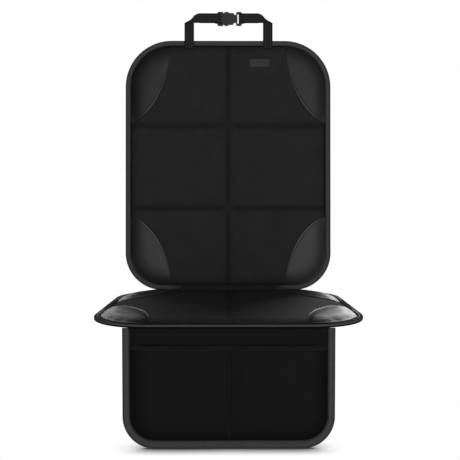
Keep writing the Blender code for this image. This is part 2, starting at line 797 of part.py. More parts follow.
if __name__ == "__main__":
    main()
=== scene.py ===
"""Looks of a car seat cover: quilted cloth, leatherette corners, tape, webbing and a buckle.

Every surface is worked out with numpy in the frame of its panel: u runs across, v along the
panel away from the fold (down the flap), and w out of the lining towards the user.
"""

import json
import math

import bpy
import numpy as np
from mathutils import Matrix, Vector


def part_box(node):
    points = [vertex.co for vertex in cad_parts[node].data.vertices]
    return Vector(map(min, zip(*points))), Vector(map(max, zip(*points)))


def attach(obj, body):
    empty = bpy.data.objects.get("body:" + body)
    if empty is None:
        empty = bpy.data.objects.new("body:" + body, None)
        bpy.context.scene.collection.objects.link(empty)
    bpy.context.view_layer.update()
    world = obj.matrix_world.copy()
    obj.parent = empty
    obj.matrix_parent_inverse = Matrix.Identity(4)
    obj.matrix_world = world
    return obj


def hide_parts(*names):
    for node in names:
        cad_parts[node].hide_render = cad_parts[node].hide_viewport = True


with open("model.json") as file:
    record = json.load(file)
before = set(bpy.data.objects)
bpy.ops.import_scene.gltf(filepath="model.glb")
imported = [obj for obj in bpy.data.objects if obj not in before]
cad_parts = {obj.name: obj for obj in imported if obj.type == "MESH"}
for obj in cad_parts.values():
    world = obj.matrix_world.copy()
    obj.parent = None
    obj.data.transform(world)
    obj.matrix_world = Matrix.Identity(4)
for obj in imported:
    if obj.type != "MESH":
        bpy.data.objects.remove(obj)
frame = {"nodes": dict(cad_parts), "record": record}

bl_info = {
    "name": "Car seat cover",
    "version": (1, 0, 0),
    "blender": (4, 5, 0),
    "location": "View3D > Sidebar > Seat cover",
    "description": "Dresses the packed seat cover in quilted cloth, leatherette, tape and webbing",
    "category": "Object",
}

MM = 0.001
ACROSS = np.array([1.0, 0.0, 0.0])
BODY = "root"
NECK_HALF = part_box("fold_web")[1].x
CLOTH = 1.0 * MM
RIM_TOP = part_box("seat_face")[0].z + CLOTH
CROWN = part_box("seat_face")[1].z
LINING = 1.2 * MM
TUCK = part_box("seat_lining")[1].z - LINING
GAP = 0.3 * MM
STRAP_HALF = 10.35 * MM
GROOVE = 4.8            # mm from a patch's inner edge to its row of stitches
SEAM = 2.2              # mm from the edge of a tape, hem or tag to its stitches
SEWN_IN = 14 * MM       # from the outline to the ends of the rows of stitches


def linear(colour):
    """The linear RGB of an sRGB hex colour: each channel c becomes ((c + 0.055) / 1.055) ^ 2.4."""
    channels = [int(colour[k:k + 2], 16) / 255 for k in (1, 3, 5)]
    return tuple(c / 12.92 if c <= 0.04045 else ((c + 0.055) / 1.055) ** 2.4 for c in channels)


def ease(share):
    """Smooth step from 0 to 1: 3 s^2 - 2 s^3."""
    held = np.clip(share, 0.0, 1.0)
    return held * held * (3.0 - 2.0 * held)


def rise(x, start, run):
    """Smooth step that begins at start and takes the given run, both in mm."""
    return ease((x - start * MM) / (run * MM))


def bell(x, middle, width):
    """A bell of height 1 round a middle, with a half width, in mm: exp(-(d / width)^2)."""
    return np.exp(-((x - middle * MM) / (width * MM)) ** 2)


def ripple(a, b, seed, scale):
    """Slow irregular waves between -1 and 1: a sum of four sines of seeded heading and phase."""
    rng = np.random.default_rng(seed)
    total = 0.0
    for k in range(4):
        heading, phase = rng.uniform(0, 2 * math.pi, 2)
        reach = scale * (1.0 + 0.6 * k)
        total = total + np.sin((a * math.cos(heading) + b * math.sin(heading)) * reach + phase)
    return total / 4


def stack(*parts):
    """Arrays of one common shape, side by side along a new last axis."""
    return np.stack(np.broadcast_arrays(*parts), -1)


def lengths(points):
    """Distance along a polyline at each of its points."""
    step = np.linalg.norm(np.diff(points, axis=0), axis=1)
    return np.concatenate([[0.0], np.cumsum(step)])


class Board:
    """The flat frame of one panel, and the rounded outline of its cloth layers."""

    def __init__(self, half, reach, low, high, origin, along, out):
        self.half, self.reach, self.low, self.high = half, reach, low, high
        self.origin, self.along, self.out = (np.array(a, float) for a in (origin, along, out))
        self.turned = float(np.dot(np.cross(ACROSS, self.along), self.out)) < 0

    def place(self, u, v, w):
        """World points: origin + u across + v along + w out."""
        u, v, w = (a[..., None] for a in np.broadcast_arrays(u, v, w))
        return self.origin + u * ACROSS + v * self.along + w * self.out

    def side(self, v):
        """Half the width at v: the straight half width less the fall of the two corner arcs."""
        below = np.clip(self.low - v, 0.0, self.low)
        above = np.clip(v - self.reach + self.high, 0.0, self.high)
        fall = self.low - np.sqrt(self.low ** 2 - below ** 2)
        return self.half - fall - self.high + np.sqrt(self.high ** 2 - above ** 2)

    def depth(self, u, v):
        """Distance in from the outline, by the usual distance to a rounded rectangle."""
        radius = np.where(v < self.reach / 2, self.low, self.high)
        across = np.abs(u) - self.half + radius
        ahead = np.abs(v - self.reach / 2) - self.reach / 2 + radius
        outer = np.hypot(np.maximum(across, 0.0), np.maximum(ahead, 0.0))
        return radius - outer - np.minimum(np.maximum(across, ahead), 0.0)

    def grid(self, cell, start=0.0, multiple=3):
        """Grid of (u, v): even rows from a start on, each spread evenly between the two sides."""
        rows = multiple * round((self.reach - start) / cell / multiple) + 1
        v = np.linspace(start, self.reach, rows)[:, None]
        share = np.linspace(-1.0, 1.0, 2 * round(self.half / cell) + 1)[None, :]
        return share * self.side(v), v + 0.0 * share

    def tuck(self, u, v):
        """Rise of the lining's border over the tape's rear lip."""
        return TUCK * (1.0 - rise(self.depth(u, v), 12.7, 3.3))

    def heights(self, *nodes):
        """Where world heights fall along the panel."""
        return [(z - self.origin[2]) / self.along[2] for z in nodes]


def make_boards():
    """The three panels' frames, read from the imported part's boxes and its rear mount."""
    mounts = {m["name"]: m for m in frame["record"]["mounts"]}
    pos, axis = mounts["back_rear"]["pos_m"], mounts["back_rear"]["axis"]
    lean = math.atan2(-axis[2], axis[1])
    low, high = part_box("back_lining")
    foot = (0.0, pos[1] - (pos[2] - low.z) * math.tan(lean), low.z)
    up, out = (0.0, math.sin(lean), math.cos(lean)), (0.0, -math.cos(lean), math.sin(lean))
    reach = (high.z - low.z) / math.cos(lean)
    back = Board(high.x, reach, 85.2 * MM, 106.2 * MM, foot, up, out)
    low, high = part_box("seat_lining")
    seat = Board(high.x, high.y - low.y, 123.2 * MM, 106.2 * MM, (0, high.y, 0), (0, -1, 0), (0, 0, 1))
    low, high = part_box("flap_lining")
    flap = Board(high.x, high.z - low.z, 0.01 * MM, 51.2 * MM, (0, high.y, high.z), (0, 0, -1), (0, -1, 0))
    return {"back": back, "seat": seat, "flap": flap}


BOARDS = make_boards()


# Meshes

def set_all(thing, **values):
    """Set several attributes of one thing."""
    for key, value in values.items():
        setattr(thing, key, value)


def grid_quads(rows, cols):
    """The points of a grid by number, and its quads."""
    k = np.arange(rows * cols).reshape(rows, cols)
    return k, np.stack([k[:-1, :-1], k[:-1, 1:], k[1:, 1:], k[1:, :-1]], -1).reshape(-1, 4)


def new_object(name, data):
    """An object in the scene's own collection."""
    made = bpy.data.objects.new(name, data)
    bpy.context.scene.collection.objects.link(made)
    return made


def new_mesh(name, verts, quads, uv=None, caps=(), flip=False, values=None):
    """A mesh object from an array of points and an array of quads, with lists of points as caps."""
    mesh = bpy.data.meshes.new(name)
    faces = quads.tolist() + list(caps)
    mesh.from_pydata(verts.reshape(-1, 3), [], [face[::-1] for face in faces] if flip else faces)
    if uv is not None:
        index = np.zeros(len(mesh.loops), np.int32)
        mesh.loops.foreach_get("vertex_index", index)
        layer = mesh.uv_layers.new(name="UVMap")
        layer.data.foreach_set("uv", uv.reshape(-1, 2)[index].astype(np.float32).ravel())
    if values is not None:
        layer = mesh.attributes.new("shade", "FLOAT", "POINT")
        layer.data.foreach_set("value", values.astype(np.float32).ravel())
    mesh.polygons.foreach_set("use_smooth", np.ones(len(mesh.polygons), bool))
    mesh.update()
    return new_object(name, mesh)


def shell(name, top, under, uv, flip=False, values=None):
    """A closed sheet: a grid of points above, one below, and a rim that joins their borders."""
    k, upper = grid_quads(*top.shape[:2])
    ring = np.concatenate([k[0, :], k[1:, -1], k[-1, -2::-1], k[-2:0:-1, 0]])
    after = np.roll(ring, -1)
    size = k.size
    rim = np.stack([ring, ring + size, after + size, after], -1)
    quads = np.concatenate([upper, upper[:, ::-1] + size, rim])
    verts = np.concatenate([top.reshape(-1, 3), under.reshape(-1, 3)])
    uvs = np.concatenate([uv.reshape(-1, 2)] * 2)
    both = None if values is None else np.concatenate([values.ravel()] * 2)
    return new_mesh(name, verts, quads, uvs, flip=flip, values=both)


def sweep(name, rings, uv, flip=False, values=None):
    """A closed section carried along a path: rings of points joined, with both ends capped."""
    k = np.arange(rings.shape[0] * rings.shape[1]).reshape(rings.shape[:2])
    beside = np.roll(k, -1, axis=1)
    quads = np.stack([k[:-1], beside[:-1], beside[1:], k[1:]], -1).reshape(-1, 4)
    caps = [k[0][::-1].tolist(), k[-1].tolist()]
    return new_mesh(name, rings, quads, uv, caps=caps, flip=flip, values=values)


def finish_piece(piece, material, slot, *nodes):
    """Give a piece its material, its body and the nodes that it stands for. The slot is not used."""
    piece.data.materials.append(material)
    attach(piece, BODY)
    if nodes:
        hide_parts(*nodes)
    return piece


def lay(name, board, u, v, top, under, look, *nodes, uv=None, flip=None, values=None, fine=False):
    """A finished closed sheet between two heights over a board; look is (material, slot)."""
    uv = stack(u, v) if uv is None else uv
    flip = board.turned if flip is None else flip
    piece = shell(name, board.place(u, v, top), board.place(u, v, under), uv, flip=flip, values=values)
    if fine:
        set_all(piece.modifiers.new("Subdivision", "SUBSURF"), levels=1, render_levels=1)
    return finish_piece(piece, *look, *nodes)


# Materials

def add_node(tree, kind, inputs=None, **settings):
    """Add one node with its settings, and its inputs as values or as links."""
    node = tree.nodes.new("ShaderNode" + kind)
    set_all(node, **settings)
    for socket, value in (inputs or {}).items():
        if isinstance(value, bpy.types.NodeSocket):
            tree.links.new(value, node.inputs[socket])
        else:
            node.inputs[socket].default_value = value
    return node


def maths(tree, operation, first, second=0.0):
    """One sum on two sockets or numbers."""
    return add_node(tree, "Math", {0: first, 1: second}, operation=operation).outputs[0]


def noise(tree, place, scale, detail):
    """Noise from 0 to 1, with about scale clouds or grains to the metre."""
    return add_node(tree, "TexNoise", {"Vector": place, "Scale": scale, "Detail": detail}).outputs[0]


def remap(tree, value, bounds, **settings):
    """A value carried from one range to another, whose bounds are given by socket."""
    return add_node(tree, "MapRange", {0: value, **bounds}, **settings).outputs[0]


def tinted(tree, colour, low, high, factor):
    """A colour scaled between two brightnesses by a factor socket."""
    dark, light = ((*(c * share for c in colour), 1.0) for share in (low, high))
    return add_node(tree, "Mix", {0: factor, 6: dark, 7: light}, data_type="RGBA").outputs[2]


def ridges(tree, place, axis, spacing):
    """Threads side by side: a sine along one axis, with one period for each spacing."""
    along = add_node(tree, "SeparateXYZ", {0: place}).outputs[axis]
    return maths(tree, "SINE", maths(tree, "MULTIPLY", along, 2 * math.pi / spacing))


def shade_by_attribute(tree, colour, darkest):
    """Darken a colour where the mesh's shade value falls to 0: this paints light and shade into the
    colour.
    """
    value = add_node(tree, "Attribute", attribute_name="shade").outputs["Fac"]
    factor = remap(tree, value, {3: darkest, 4: 1.0})
    grey = add_node(tree, "CombineColor", {0: factor, 1: factor, 2: factor}).outputs[0]
    return add_node(tree, "Mix", {0: 1.0, 6: colour, 7: grey}, data_type="RGBA",
                    blend_type="MULTIPLY").outputs[2]


def new_material(name, roughness, specular, solid=False):
    """A Principled material with plain numbers on its shader, and its UV or Object place in metres."""
    made = bpy.data.materials.new(name)
    made.use_nodes = True
    tree = made.node_tree
    shader = tree.nodes["Principled BSDF"]
    shader.inputs["Roughness"].default_value = roughness
    shader.inputs["Specular IOR Level"].default_value = specular
    if solid:
        return made, tree, add_node(tree, "TexCoord").outputs["Object"]
    return made, tree, add_node(tree, "UVMap", uv_map="UVMap").outputs[0]


def finish_material(made, base, height, distance, strength, roughness=None):
    """Link the base colour, a bump with its distance in mm, and the roughness to the shader."""
    tree = made.node_tree
    bump = add_node(tree, "Bump", {"Height": height, "Distance": distance * MM, "Strength": strength})
    ends = {"Base Color": base, "Normal": bump.outputs[0], "Roughness": roughness}
    for socket, value in ends.items():
        if value is not None:
            tree.links.new(value, tree.nodes["Principled BSDF"].inputs[socket])
    return made


def woven_cloth(name, colour, thread, shaded=0.0):
    """Oxford polyester, plain woven: dull, with a fine grid of crossing yarns and uneven dye.

    The yarns are drawn about twice as wide as the real 0.5 mm, which the render can't show.
    """
    made, tree, uv = new_material(name, 0.9, 0.12)
    crossing = maths(tree, "MULTIPLY", ridges(tree, uv, 0, thread), ridges(tree, uv, 1, thread))
    grain = noise(tree, uv, 900.0, 2.0)
    base = tinted(tree, colour, 0.72, 1.75, maths(tree, "MULTIPLY", noise(tree, uv, 22.0, 6.0), grain))
    if shaded:
        base = shade_by_attribute(tree, base, shaded)
    return finish_material(made, base, maths(tree, "ADD", grain, crossing), 0.12, 0.55)


def leatherette(name, colour):
    """Polyurethane leather, embossed: a soft satin sheen broken by a fine pebble grain."""
    made, tree, uv = new_material(name, 0.5, 0.1)
    pebble = add_node(tree, "TexVoronoi", {"Vector": uv, "Scale": 620.0}, feature="F1").outputs[0]
    soft = noise(tree, uv, 30.0, 3.0)
    base = shade_by_attribute(tree, tinted(tree, colour, 0.9, 1.1, soft), 0.03)
    height = maths(tree, "ADD", pebble, noise(tree, uv, 1500.0, 3.0))
    return finish_material(made, base, height, 0.05, 0.35, remap(tree, soft, {3: 0.48, 4: 0.52}))


def ribbed_tape(name, colour, rib, axis, roughness=0.7, shaded=None):
    """Polypropylene tape, woven with ribs across it: a dull nap with fine parallel ridges."""
    made, tree, uv = new_material(name, roughness, 0.0)
    ribs = ridges(tree, uv, axis, rib)
    lit = remap(tree, ribs, {1: -1.0, 3: 0.35, 4: 0.65})
    base = tinted(tree, colour, 0.45, 1.25, maths(tree, "ADD", lit, noise(tree, uv, 60.0, 4.0)))
    if shaded is not None:
        base = shade_by_attribute(tree, base, shaded)
    return finish_material(made, base, maths(tree, "ADD", ribs, noise(tree, uv, 1200.0, 2.0)), 0.12, 0.6)


def grip_lining(name, colour, dot):
    """Polyester lining with printed rubber dots, which stop the cover from sliding."""
    made, tree, uv = new_material(name, 0.75, 0.12)
    dots = add_node(tree, "TexVoronoi", {"Vector": uv, "Scale": 1.0 / dot, "Randomness": 0.0}).outputs[0]
    raised = remap(tree, dots, {1: 0.24, 2: 0.30, 3: 1.0, 4: 0.0}, interpolation_type="SMOOTHSTEP")
    base = tinted(tree, colour, 1.0, 0.45, raised)
    return finish_material(made, base, raised, 0.25, 0.4, remap(tree, raised, {3: 0.85, 4: 0.45}))


def moulded_plastic(name, colour):
    """Acetal, injection moulded: satin, with the fine spark texture of its mould."""
    made, tree, place = new_material(name, 0.42, 0.28, solid=True)
    base = tinted(tree, colour, 0.9, 1.12, noise(tree, place, 90.0, 2.0))
    return finish_material(made, base, noise(tree, place, 2600.0, 2.0), 0.04, 0.4)


def sewing_thread(name, colour):
    """Bonded polyester thread, twisted: a slight gloss along each stitch."""
    made, tree, place = new_material(name, 0.6, 0.25, solid=True)
    twist = noise(tree, place, 1500.0, 1.0)
    return finish_material(made, tinted(tree, colour, 0.8, 1.3, twist), twist, 0.06, 0.5)


# Sizes and colours that a user would change

def size(label, description, default):
    """A length, whose default is given in mm."""
    return bpy.props.FloatProperty(name=label, description=description, default=default * MM,
                                   unit="LENGTH", min=0.0, precision=4)


def number(label, description, default, low=0.0, unit="NONE"):
    """A plain number or a power."""
    return bpy.props.FloatProperty(name=label, description=description, default=default, min=low,
                                   unit=unit)


def colour(label, description, default):
    """A linear colour whose default is written as sRGB hex."""
    return bpy.props.FloatVectorProperty(name=label, description=description, size=3,
                                         subtype="COLOR", min=0.0, max=1.0, default=linear(default))


class CoverPads(bpy.types.PropertyGroup):
    """Sizes of the quilted pads."""

    border: size("Flat border", "Pressed edge under the binding", 13)
    pinch: size("Pinch", "Width over which the foam swells", 34)
    channel: size("Channel", "Half width of a quilting channel", 17)
    floor: size("Channel floor", "Height of a channel over the pressed edge", 0.7)
    cell: size("Cell", "Spacing of the pad's mesh", 5.5)
    pressure: number("Pressure", "Force of the foam on the cloth", 4.0)
    cloth: colour("Cloth", "Colour of the face cloth", "#232324")


class CoverPatches(bpy.types.PropertyGroup):
    """Sizes of the leatherette corner patches."""

    width: size("Width", "Reach of a patch from the panel's side", 108)
    long: size("Long reach", "Reach of the tall patches along the panel", 195)
    short: size("Short reach", "Reach of the back's lower patches", 174)
    power: number("Power", "2 is an ellipse, less is flatter", 1.9, 1.0)
    # Painted light and shade take most of the leather down to a third or half of this colour; only the
    # painted highlight on each patch's cord comes near it.
    leather: colour("Leather", "Colour of the leatherette", "#4a4a4b")


class CoverTape(bpy.types.PropertyGroup):
    """Sizes of the binding tape."""

    lip: size("Lip", "Width of tape on the panel", 10.6)
    thick: size("Thickness", "Thickness of the tape", 0.75)
    proud: size("Proud edge", "From the cloth's edge to the outside of the tape", 2.1)
    rib: size("Rib", "Spacing of the ribs", 1.1)
    tape: colour("Tape", "Colour of the binding tape", "#3a3a3b")


class CoverFlap(bpy.types.PropertyGroup):
    """Sizes of the front flap and its pockets."""

    mouth: size("Pocket mouth", "From the flap's top to the pockets' mouth", 28.5)
    room: size("Pocket room", "How far the pocket stands out", 6.0)
    hem: size("Hem", "Depth of the hem on the mouth", 8)
    cloth: colour("Cloth", "Colour of the flap's cloth", "#0e0e0e")
    pocket: colour("Pocket", "Colour of the pocket cloth", "#111111")


class CoverStraps(bpy.types.PropertyGroup):
    """Sizes of the headrest straps and the thread that sews them."""

    width: size("Width", "Width of the webbing", 22.4)
    thick: size("Thickness", "Thickness of the webbing", 1.4)
    webbing: colour("Webbing", "Colour of the webbing", "#2b2b2c")
    plastic: colour("Buckle", "Colour of the buckle", "#161617")
    thread: colour("Thread", "Colour of the thread", "#242425")
    tag: colour("Tag", "Colour of the bare tag", "#353534")


class CoverStage(bpy.types.PropertyGroup):
    """Camera and light."""

    lens: number("Lens", "Focal length on a 36 mm sensor", 49.65, 10.0)
    key: number("Key", "Power of the main soft light", 150.0, unit="POWER")
    rear: number("Rear", "Power of the light behind on the right", 12.0, unit="POWER")
    sky: number("Sky", "Even light from all round", 0.3)


# Quilted pads

PADS = {}


def seam_rows(board):
    """Heights of the seams across a panel: the back has two, 4 mm below its thirds."""
    return [board.reach * k / 3 - 4 * MM for k in (1, 2)] if board is BOARDS["back"] else []


def seam_distance(board, u, v):
    """Distance to the nearest seam, and from there to the nearest crossing of two seams."""
    along = np.abs(u)
    if not seam_rows(board):
        return along, np.full_like(along, 1.0)
    across = np.min([np.abs(v - row) for row in seam_rows(board)], axis=0)
    return np.minimum(along, across), np.maximum(along, across)


def simulate_pad(board, props, u, v):
    """Blow the face cloth up with cloth simulation, held at its border and along its seams.

    The cloth starts low over the foam. Each point's rise is then eased to the foam's height by
    cap x tanh(rise / cap), so the middle of each field lies nearly flat.
    """
    near, crossing = seam_distance(board, u, v)
    depth = board.depth(u, v)
    lift = ease((depth - props.border) / props.pinch)
    start = RIM_TOP + lift * (props.floor + 1.6 * MM * bell(crossing, 0, 26))
    base = board.place(u, v, start)
    sheet = new_mesh("cloth_trial", base, grid_quads(*u.shape)[1], flip=board.turned)
    held = np.flatnonzero((depth < props.border) | (near < 0.4 * props.cell))
    sheet.vertex_groups.new(name="held").add(held.tolist(), 1.0, "REPLACE")
    settings = sheet.modifiers.new("Cloth", "CLOTH").settings
    set_all(settings, quality=6, mass=0.15, tension_stiffness=12.0, compression_stiffness=12.0,
            shear_stiffness=6.0, bending_stiffness=1.2, shrink_min=-0.012, use_pressure=True,
            uniform_pressure_force=props.pressure, vertex_group_mass="held")
    settings.effector_weights.gravity = 0.0
    scene = bpy.context.scene
    for step in range(1, 21):
        scene.frame_set(step)
    moved = np.zeros(base.size, np.float32)
    result = sheet.evaluated_get(bpy.context.evaluated_depsgraph_get()).to_mesh()
    result.vertices.foreach_get("co", moved)
    travel = moved.reshape(base.shape).astype(float) - base
    scene.frame_set(1)
    bpy.data.objects.remove(sheet, do_unlink=True)
    cap = CROWN - start
    return start + cap * np.tanh(travel @ board.out / np.maximum(cap, 0.1 * MM))


def pad_height(name, u, v):
    """Height of a made pad at any point, by linear blending between its grid's rows and columns."""
    board, heights = BOARDS[name], PADS[name]
    rows, cols = heights.shape
    y = np.clip(v / board.reach, 0.0, 1.0) * (rows - 1)
    x = np.clip(u / board.side(np.clip(v, 0.0, board.reach)) * 0.5 + 0.5, 0.0, 1.0) * (cols - 1)
    j, i = np.minimum(y.astype(int), rows - 2), np.minimum(x.astype(int), cols - 2)
    fy, fx = y - j, x - i
    low = heights[j, i] * (1 - fx) + heights[j, i + 1] * fx
    return low * (1 - fy) + (heights[j + 1, i] * (1 - fx) + heights[j + 1, i + 1] * fx) * fy


class COVER_OT_pads(bpy.types.Operator):
    """Make the quilted pads of the back and seat panels"""

    bl_idname = "cover.pads"
    bl_label = "Quilted pads"

    def execute(self, context):
        props = context.scene.cover_pads
        look = woven_cloth("oxford_polyester_face", props.cloth, 1.1 * MM, shaded=0.15), "woven_cloth"
        # The seat's cloth is painted at 0.8 of the back's: painted shade on its top.
        for name, painted_dimming in (("back", 1.0), ("seat", 0.8)):
            board = BOARDS[name]
            u, v = board.grid(props.cell)
            PADS[name] = simulate_pad(board, props, u, v)
            near, crossing = seam_distance(board, u, v)
            # Painted shade: darker along the quilting channels, less so where they cross, and much darker
            # next to the tape's inner edge.
            shade = 1.0 - 0.7 * bell(near, 0, 6) * (0.4 + 0.6 * rise(crossing, 0, 30))
            depth = board.depth(u, v)
            shade = shade * (0.6 * rise(depth, 10.5, 6) + 0.4 * rise(depth, 8, 26)) * painted_dimming
            under = board.tuck(u, v) + LINING + GAP
            pad = lay(f"{name}_pad", board, u, v, PADS[name], under, look, f"{name}_face",
                      f"{name}_foam", values=shade, fine=True)
        return {"FINISHED"}


# Linings

class COVER_OT_linings(bpy.types.Operator):
    """Make the grip linings on the rear of the panels"""

    bl_idname = "cover.linings"
    bl_label = "Grip linings"

    def execute(self, context):
        look = grip_lining("dotted_grip_lining", linear("#2a2a2b"), 6 * MM), "grip_lining"
        for name in ("back", "seat"):
            board = BOARDS[name]
            u, v = board.grid(6 * MM)
            wave = 0.35 * MM * ripple(u, v, 7, 28.0) * rise(board.depth(u, v), 16, 30)
            tuck = board.tuck(u, v)
            under = tuck + 0.02 * MM + np.maximum(wave, 0.0)
            sheet = lay(f"{name}_grip_lining", board, u, v, tuck + LINING, under, look, f"{name}_lining")
        return {"FINISHED"}


# Corner patches

DOMES = {"back": 1.2 * MM, "seat": 3.0 * MM}
CORNERS = (("back", "low", "bottom"), ("back", "high", "top"), ("seat", "low", "rear"),
           ("seat", "high", "front"))
# Painted light: a brightness gain for each place of patch, highest on the back's lower ones.
PAINTED_PATCH_GAIN = {"bottom": 1.7, "top": 1.0, "rear": 1.2, "front": 1.3}


def hit_outline(board, inner, focus, inset):
    """Where rays from a focus through inner points meet the outline moved in, by bisection."""
    heading = inner - focus
    near, far = np.ones(len(inner)), np.full(len(inner), 6.0)
    for _ in range(40):
        middle = (near + far) / 2
        at = focus + heading * middle[:, None]
        inside = board.depth(at[:, 0], at[:, 1]) > inset
        near, far = np.where(inside, middle, near), np.where(inside, far, middle)
    return focus + heading * near[:, None]


def patch_points(board, props, end, side):
    """Grid of (u, v, distance from the inner edge) over one corner patch.

    The inner edge is a superellipse round the corner: x = a cos(t)^(2/p), y = b sin(t)^(2/p).
    Straight lines run from it to the outline under the tape. A flat strip of 2.4 mm, at negative
    distances, lies outside the edge; it is painted near black as a shadow line along the edge.
    """
    reach = props.short if (board is BOARDS["back"] and end == "low") else props.long
    proud = bpy.context.scene.cover_tape.proud
    t = np.linspace(0.004, 0.996, 110) * math.pi / 2
    x = props.width * np.cos(t) ** (2 / props.power) - proud
    y = reach * np.sin(t) ** (2 / props.power) - proud
    low = end == "low"
    inner = np.stack([(board.half - x) * side, y if low else board.reach - y], -1)
    focus = np.array([(board.half - props.width) * side, reach if low else board.reach - reach])
    outer = hit_outline(board, inner, focus, 3 * MM)
    span = np.linalg.norm(outer - inner, axis=1)[:, None]
    edge = np.concatenate([[-2.4, -1.6, -0.8, -0.1], np.linspace(0, 1, 5), np.linspace(1.4, 9, 20)]) * MM
    first = np.minimum(edge[None, :], span * 0.5)
    rest = first[:, -1:] + (span - first[:, -1:]) * np.linspace(0.0, 1.0, 26)[None, 1:]
    away = np.concatenate([first, rest], axis=1)
    ratio = (away / np.maximum(span, 1e-6))[..., None]
    flat = inner[:, None, :] + (outer - inner)[:, None, :] * ratio
    return flat[..., 0], flat[..., 1], away


def patch_base(name, u, v):
    """The pad's height, evened over 7 mm inside the bound edge as the stiffer leather evens it."""
    near = [pad_height(name, u + 7 * MM * i, v + 7 * MM * j) for i in (-1, 0, 1) for j in (-1, 0, 1)]
    return near[4] + rise(BOARDS[name].depth(u, v), 12, 16) * (np.mean(near, axis=0) - near[4])


def patch_lift(away, dome):
    """Height of the leather over the pad, by distance in from the patch's inner edge.

    The edge turns down over 0.8 mm. A piped border follows, then the groove that its
    stitching pulls in, and then a dome that the foam fills.
    """
    edge = np.sqrt(1.0 - (1.0 - np.clip(away / (0.8 * MM), 0.0, 1.0)) ** 2)
    border = 0.7 * MM + 0.7 * MM * bell(away, 2.0, 1.5)
    groove = -0.6 * MM * bell(away, GROOVE, 1.0)
    return 0.3 * MM + edge * (border + groove) + dome * rise(away, GROOVE, 34)


def patch_painted_light(away):
    """Painted light and shade on the leather by distance from its inner edge: a painted shadow line on the
    strip outside the edge, a painted highlight on the cord, and painted shade in the stitched groove.
    """
    line = 0.6 * bell(away, 1.8, 1.8) - 0.14 * bell(away, GROOVE, 0.9)
    return (0.3 + line) * rise(away, -0.2, 1.2)


def corner_patches(props):
    """Each patch's panel, place in words, side, end, (u, v, away) grid, depth, base and top.

    The binding tape presses the patch down to 0.3 of its height over the pad.
    """
    for name, end, label in CORNERS:
        for side, word in ((-1, "left"), (1, "right")):
            u, v, away = patch_points(BOARDS[name], props, end, side)
            depth = BOARDS[name].depth(u, v)
            base = patch_base(name, u, v)
            lift = patch_lift(away, DOMES[name]) * (0.3 + 0.7 * rise(depth, 9, 26))
            yield name, (label, word), side, end, u, v, away, depth, base, base + lift


class COVER_OT_patches(bpy.types.Operator):
    """Make the leatherette corner patches"""

    bl_idname = "cover.patches"
    bl_label = "Corner patches"

    def execute(self, context):
        props = context.scene.cover_patches
        look = leatherette("embossed_leatherette", props.leather), "smooth_leatherette"
        for name, words, side, end, u, v, away, depth, base, top in corner_patches(props):
            # Painted shade: the leather darkens towards the outline under the tape, the left patches more
            # than the right, and each place of patch takes its painted brightness gain.
            pressed = np.clip((depth - (5 - 4 * side) * MM) / (44 * MM), 0.0, 1.0)
            flip = BOARDS[name].turned == ((side > 0) == (end == "low"))
            lay(f"{name}_patch_{'_'.join(words)}", BOARDS[name], u, v, top, base + 0.1 * MM, look,
                f"{name}_corner_{'_'.join(words)}", flip=flip,
                values=pressed * patch_painted_light(away) * PAINTED_PATCH_GAIN[words[0]])
        return {"FINISHED"}


# Binding tape

def rim_path(board, neck, step):
    """The outline as points with outward normals, from one end of the tape to the other.

    It is worked out for the right half, from the fold or the flap's top to the middle of the
    far edge, as straight runs and arcs, and then mirrored.
    """
    def run(u0, v0, u1, v1, nu, nv):
        count = max(2, round(math.hypot(u1 - u0, v1 - v0) / step))
        t = np.linspace(0.0, 1.0, count, endpoint=False)
        return stack(u0 + (u1 - u0) * t, v0 + (v1 - v0) * t, nu, nv)

    def arc(u, v, radius, start):
        a = start + np.linspace(0.0, math.pi / 2, 26, endpoint=False)
        return stack(u + radius * np.cos(a), v + radius * np.sin(a), np.cos(a), np.sin(a))

    half, reach, low, high = board.half, board.reach, board.low, board.high
    parts = []
    if neck is not None:
        parts += [run(neck, 0.0, half - low, 0.0, 0, -1), arc(half - low, low, low, -math.pi / 2)]
    parts += [run(half, low if neck is not None else 0.0, half, reach - high, 1, 0),
              arc(half - high, reach - high, high, 0.0),
              run(half - high, reach, 0.0, reach, 0, 1), np.array([[0.0, reach, 0.0, 1.0]])]
    right = np.concatenate(parts)
    return np.concatenate([right, right[-2::-1] * np.array([-1.0, 1.0, -1.0, 1.0])])


def mirrored(*halves):
    """A run of section points followed by its own reflection in the middle height."""
    points = np.concatenate(halves)
    return np.concatenate([points, points[-2::-1] * [1, -1]])


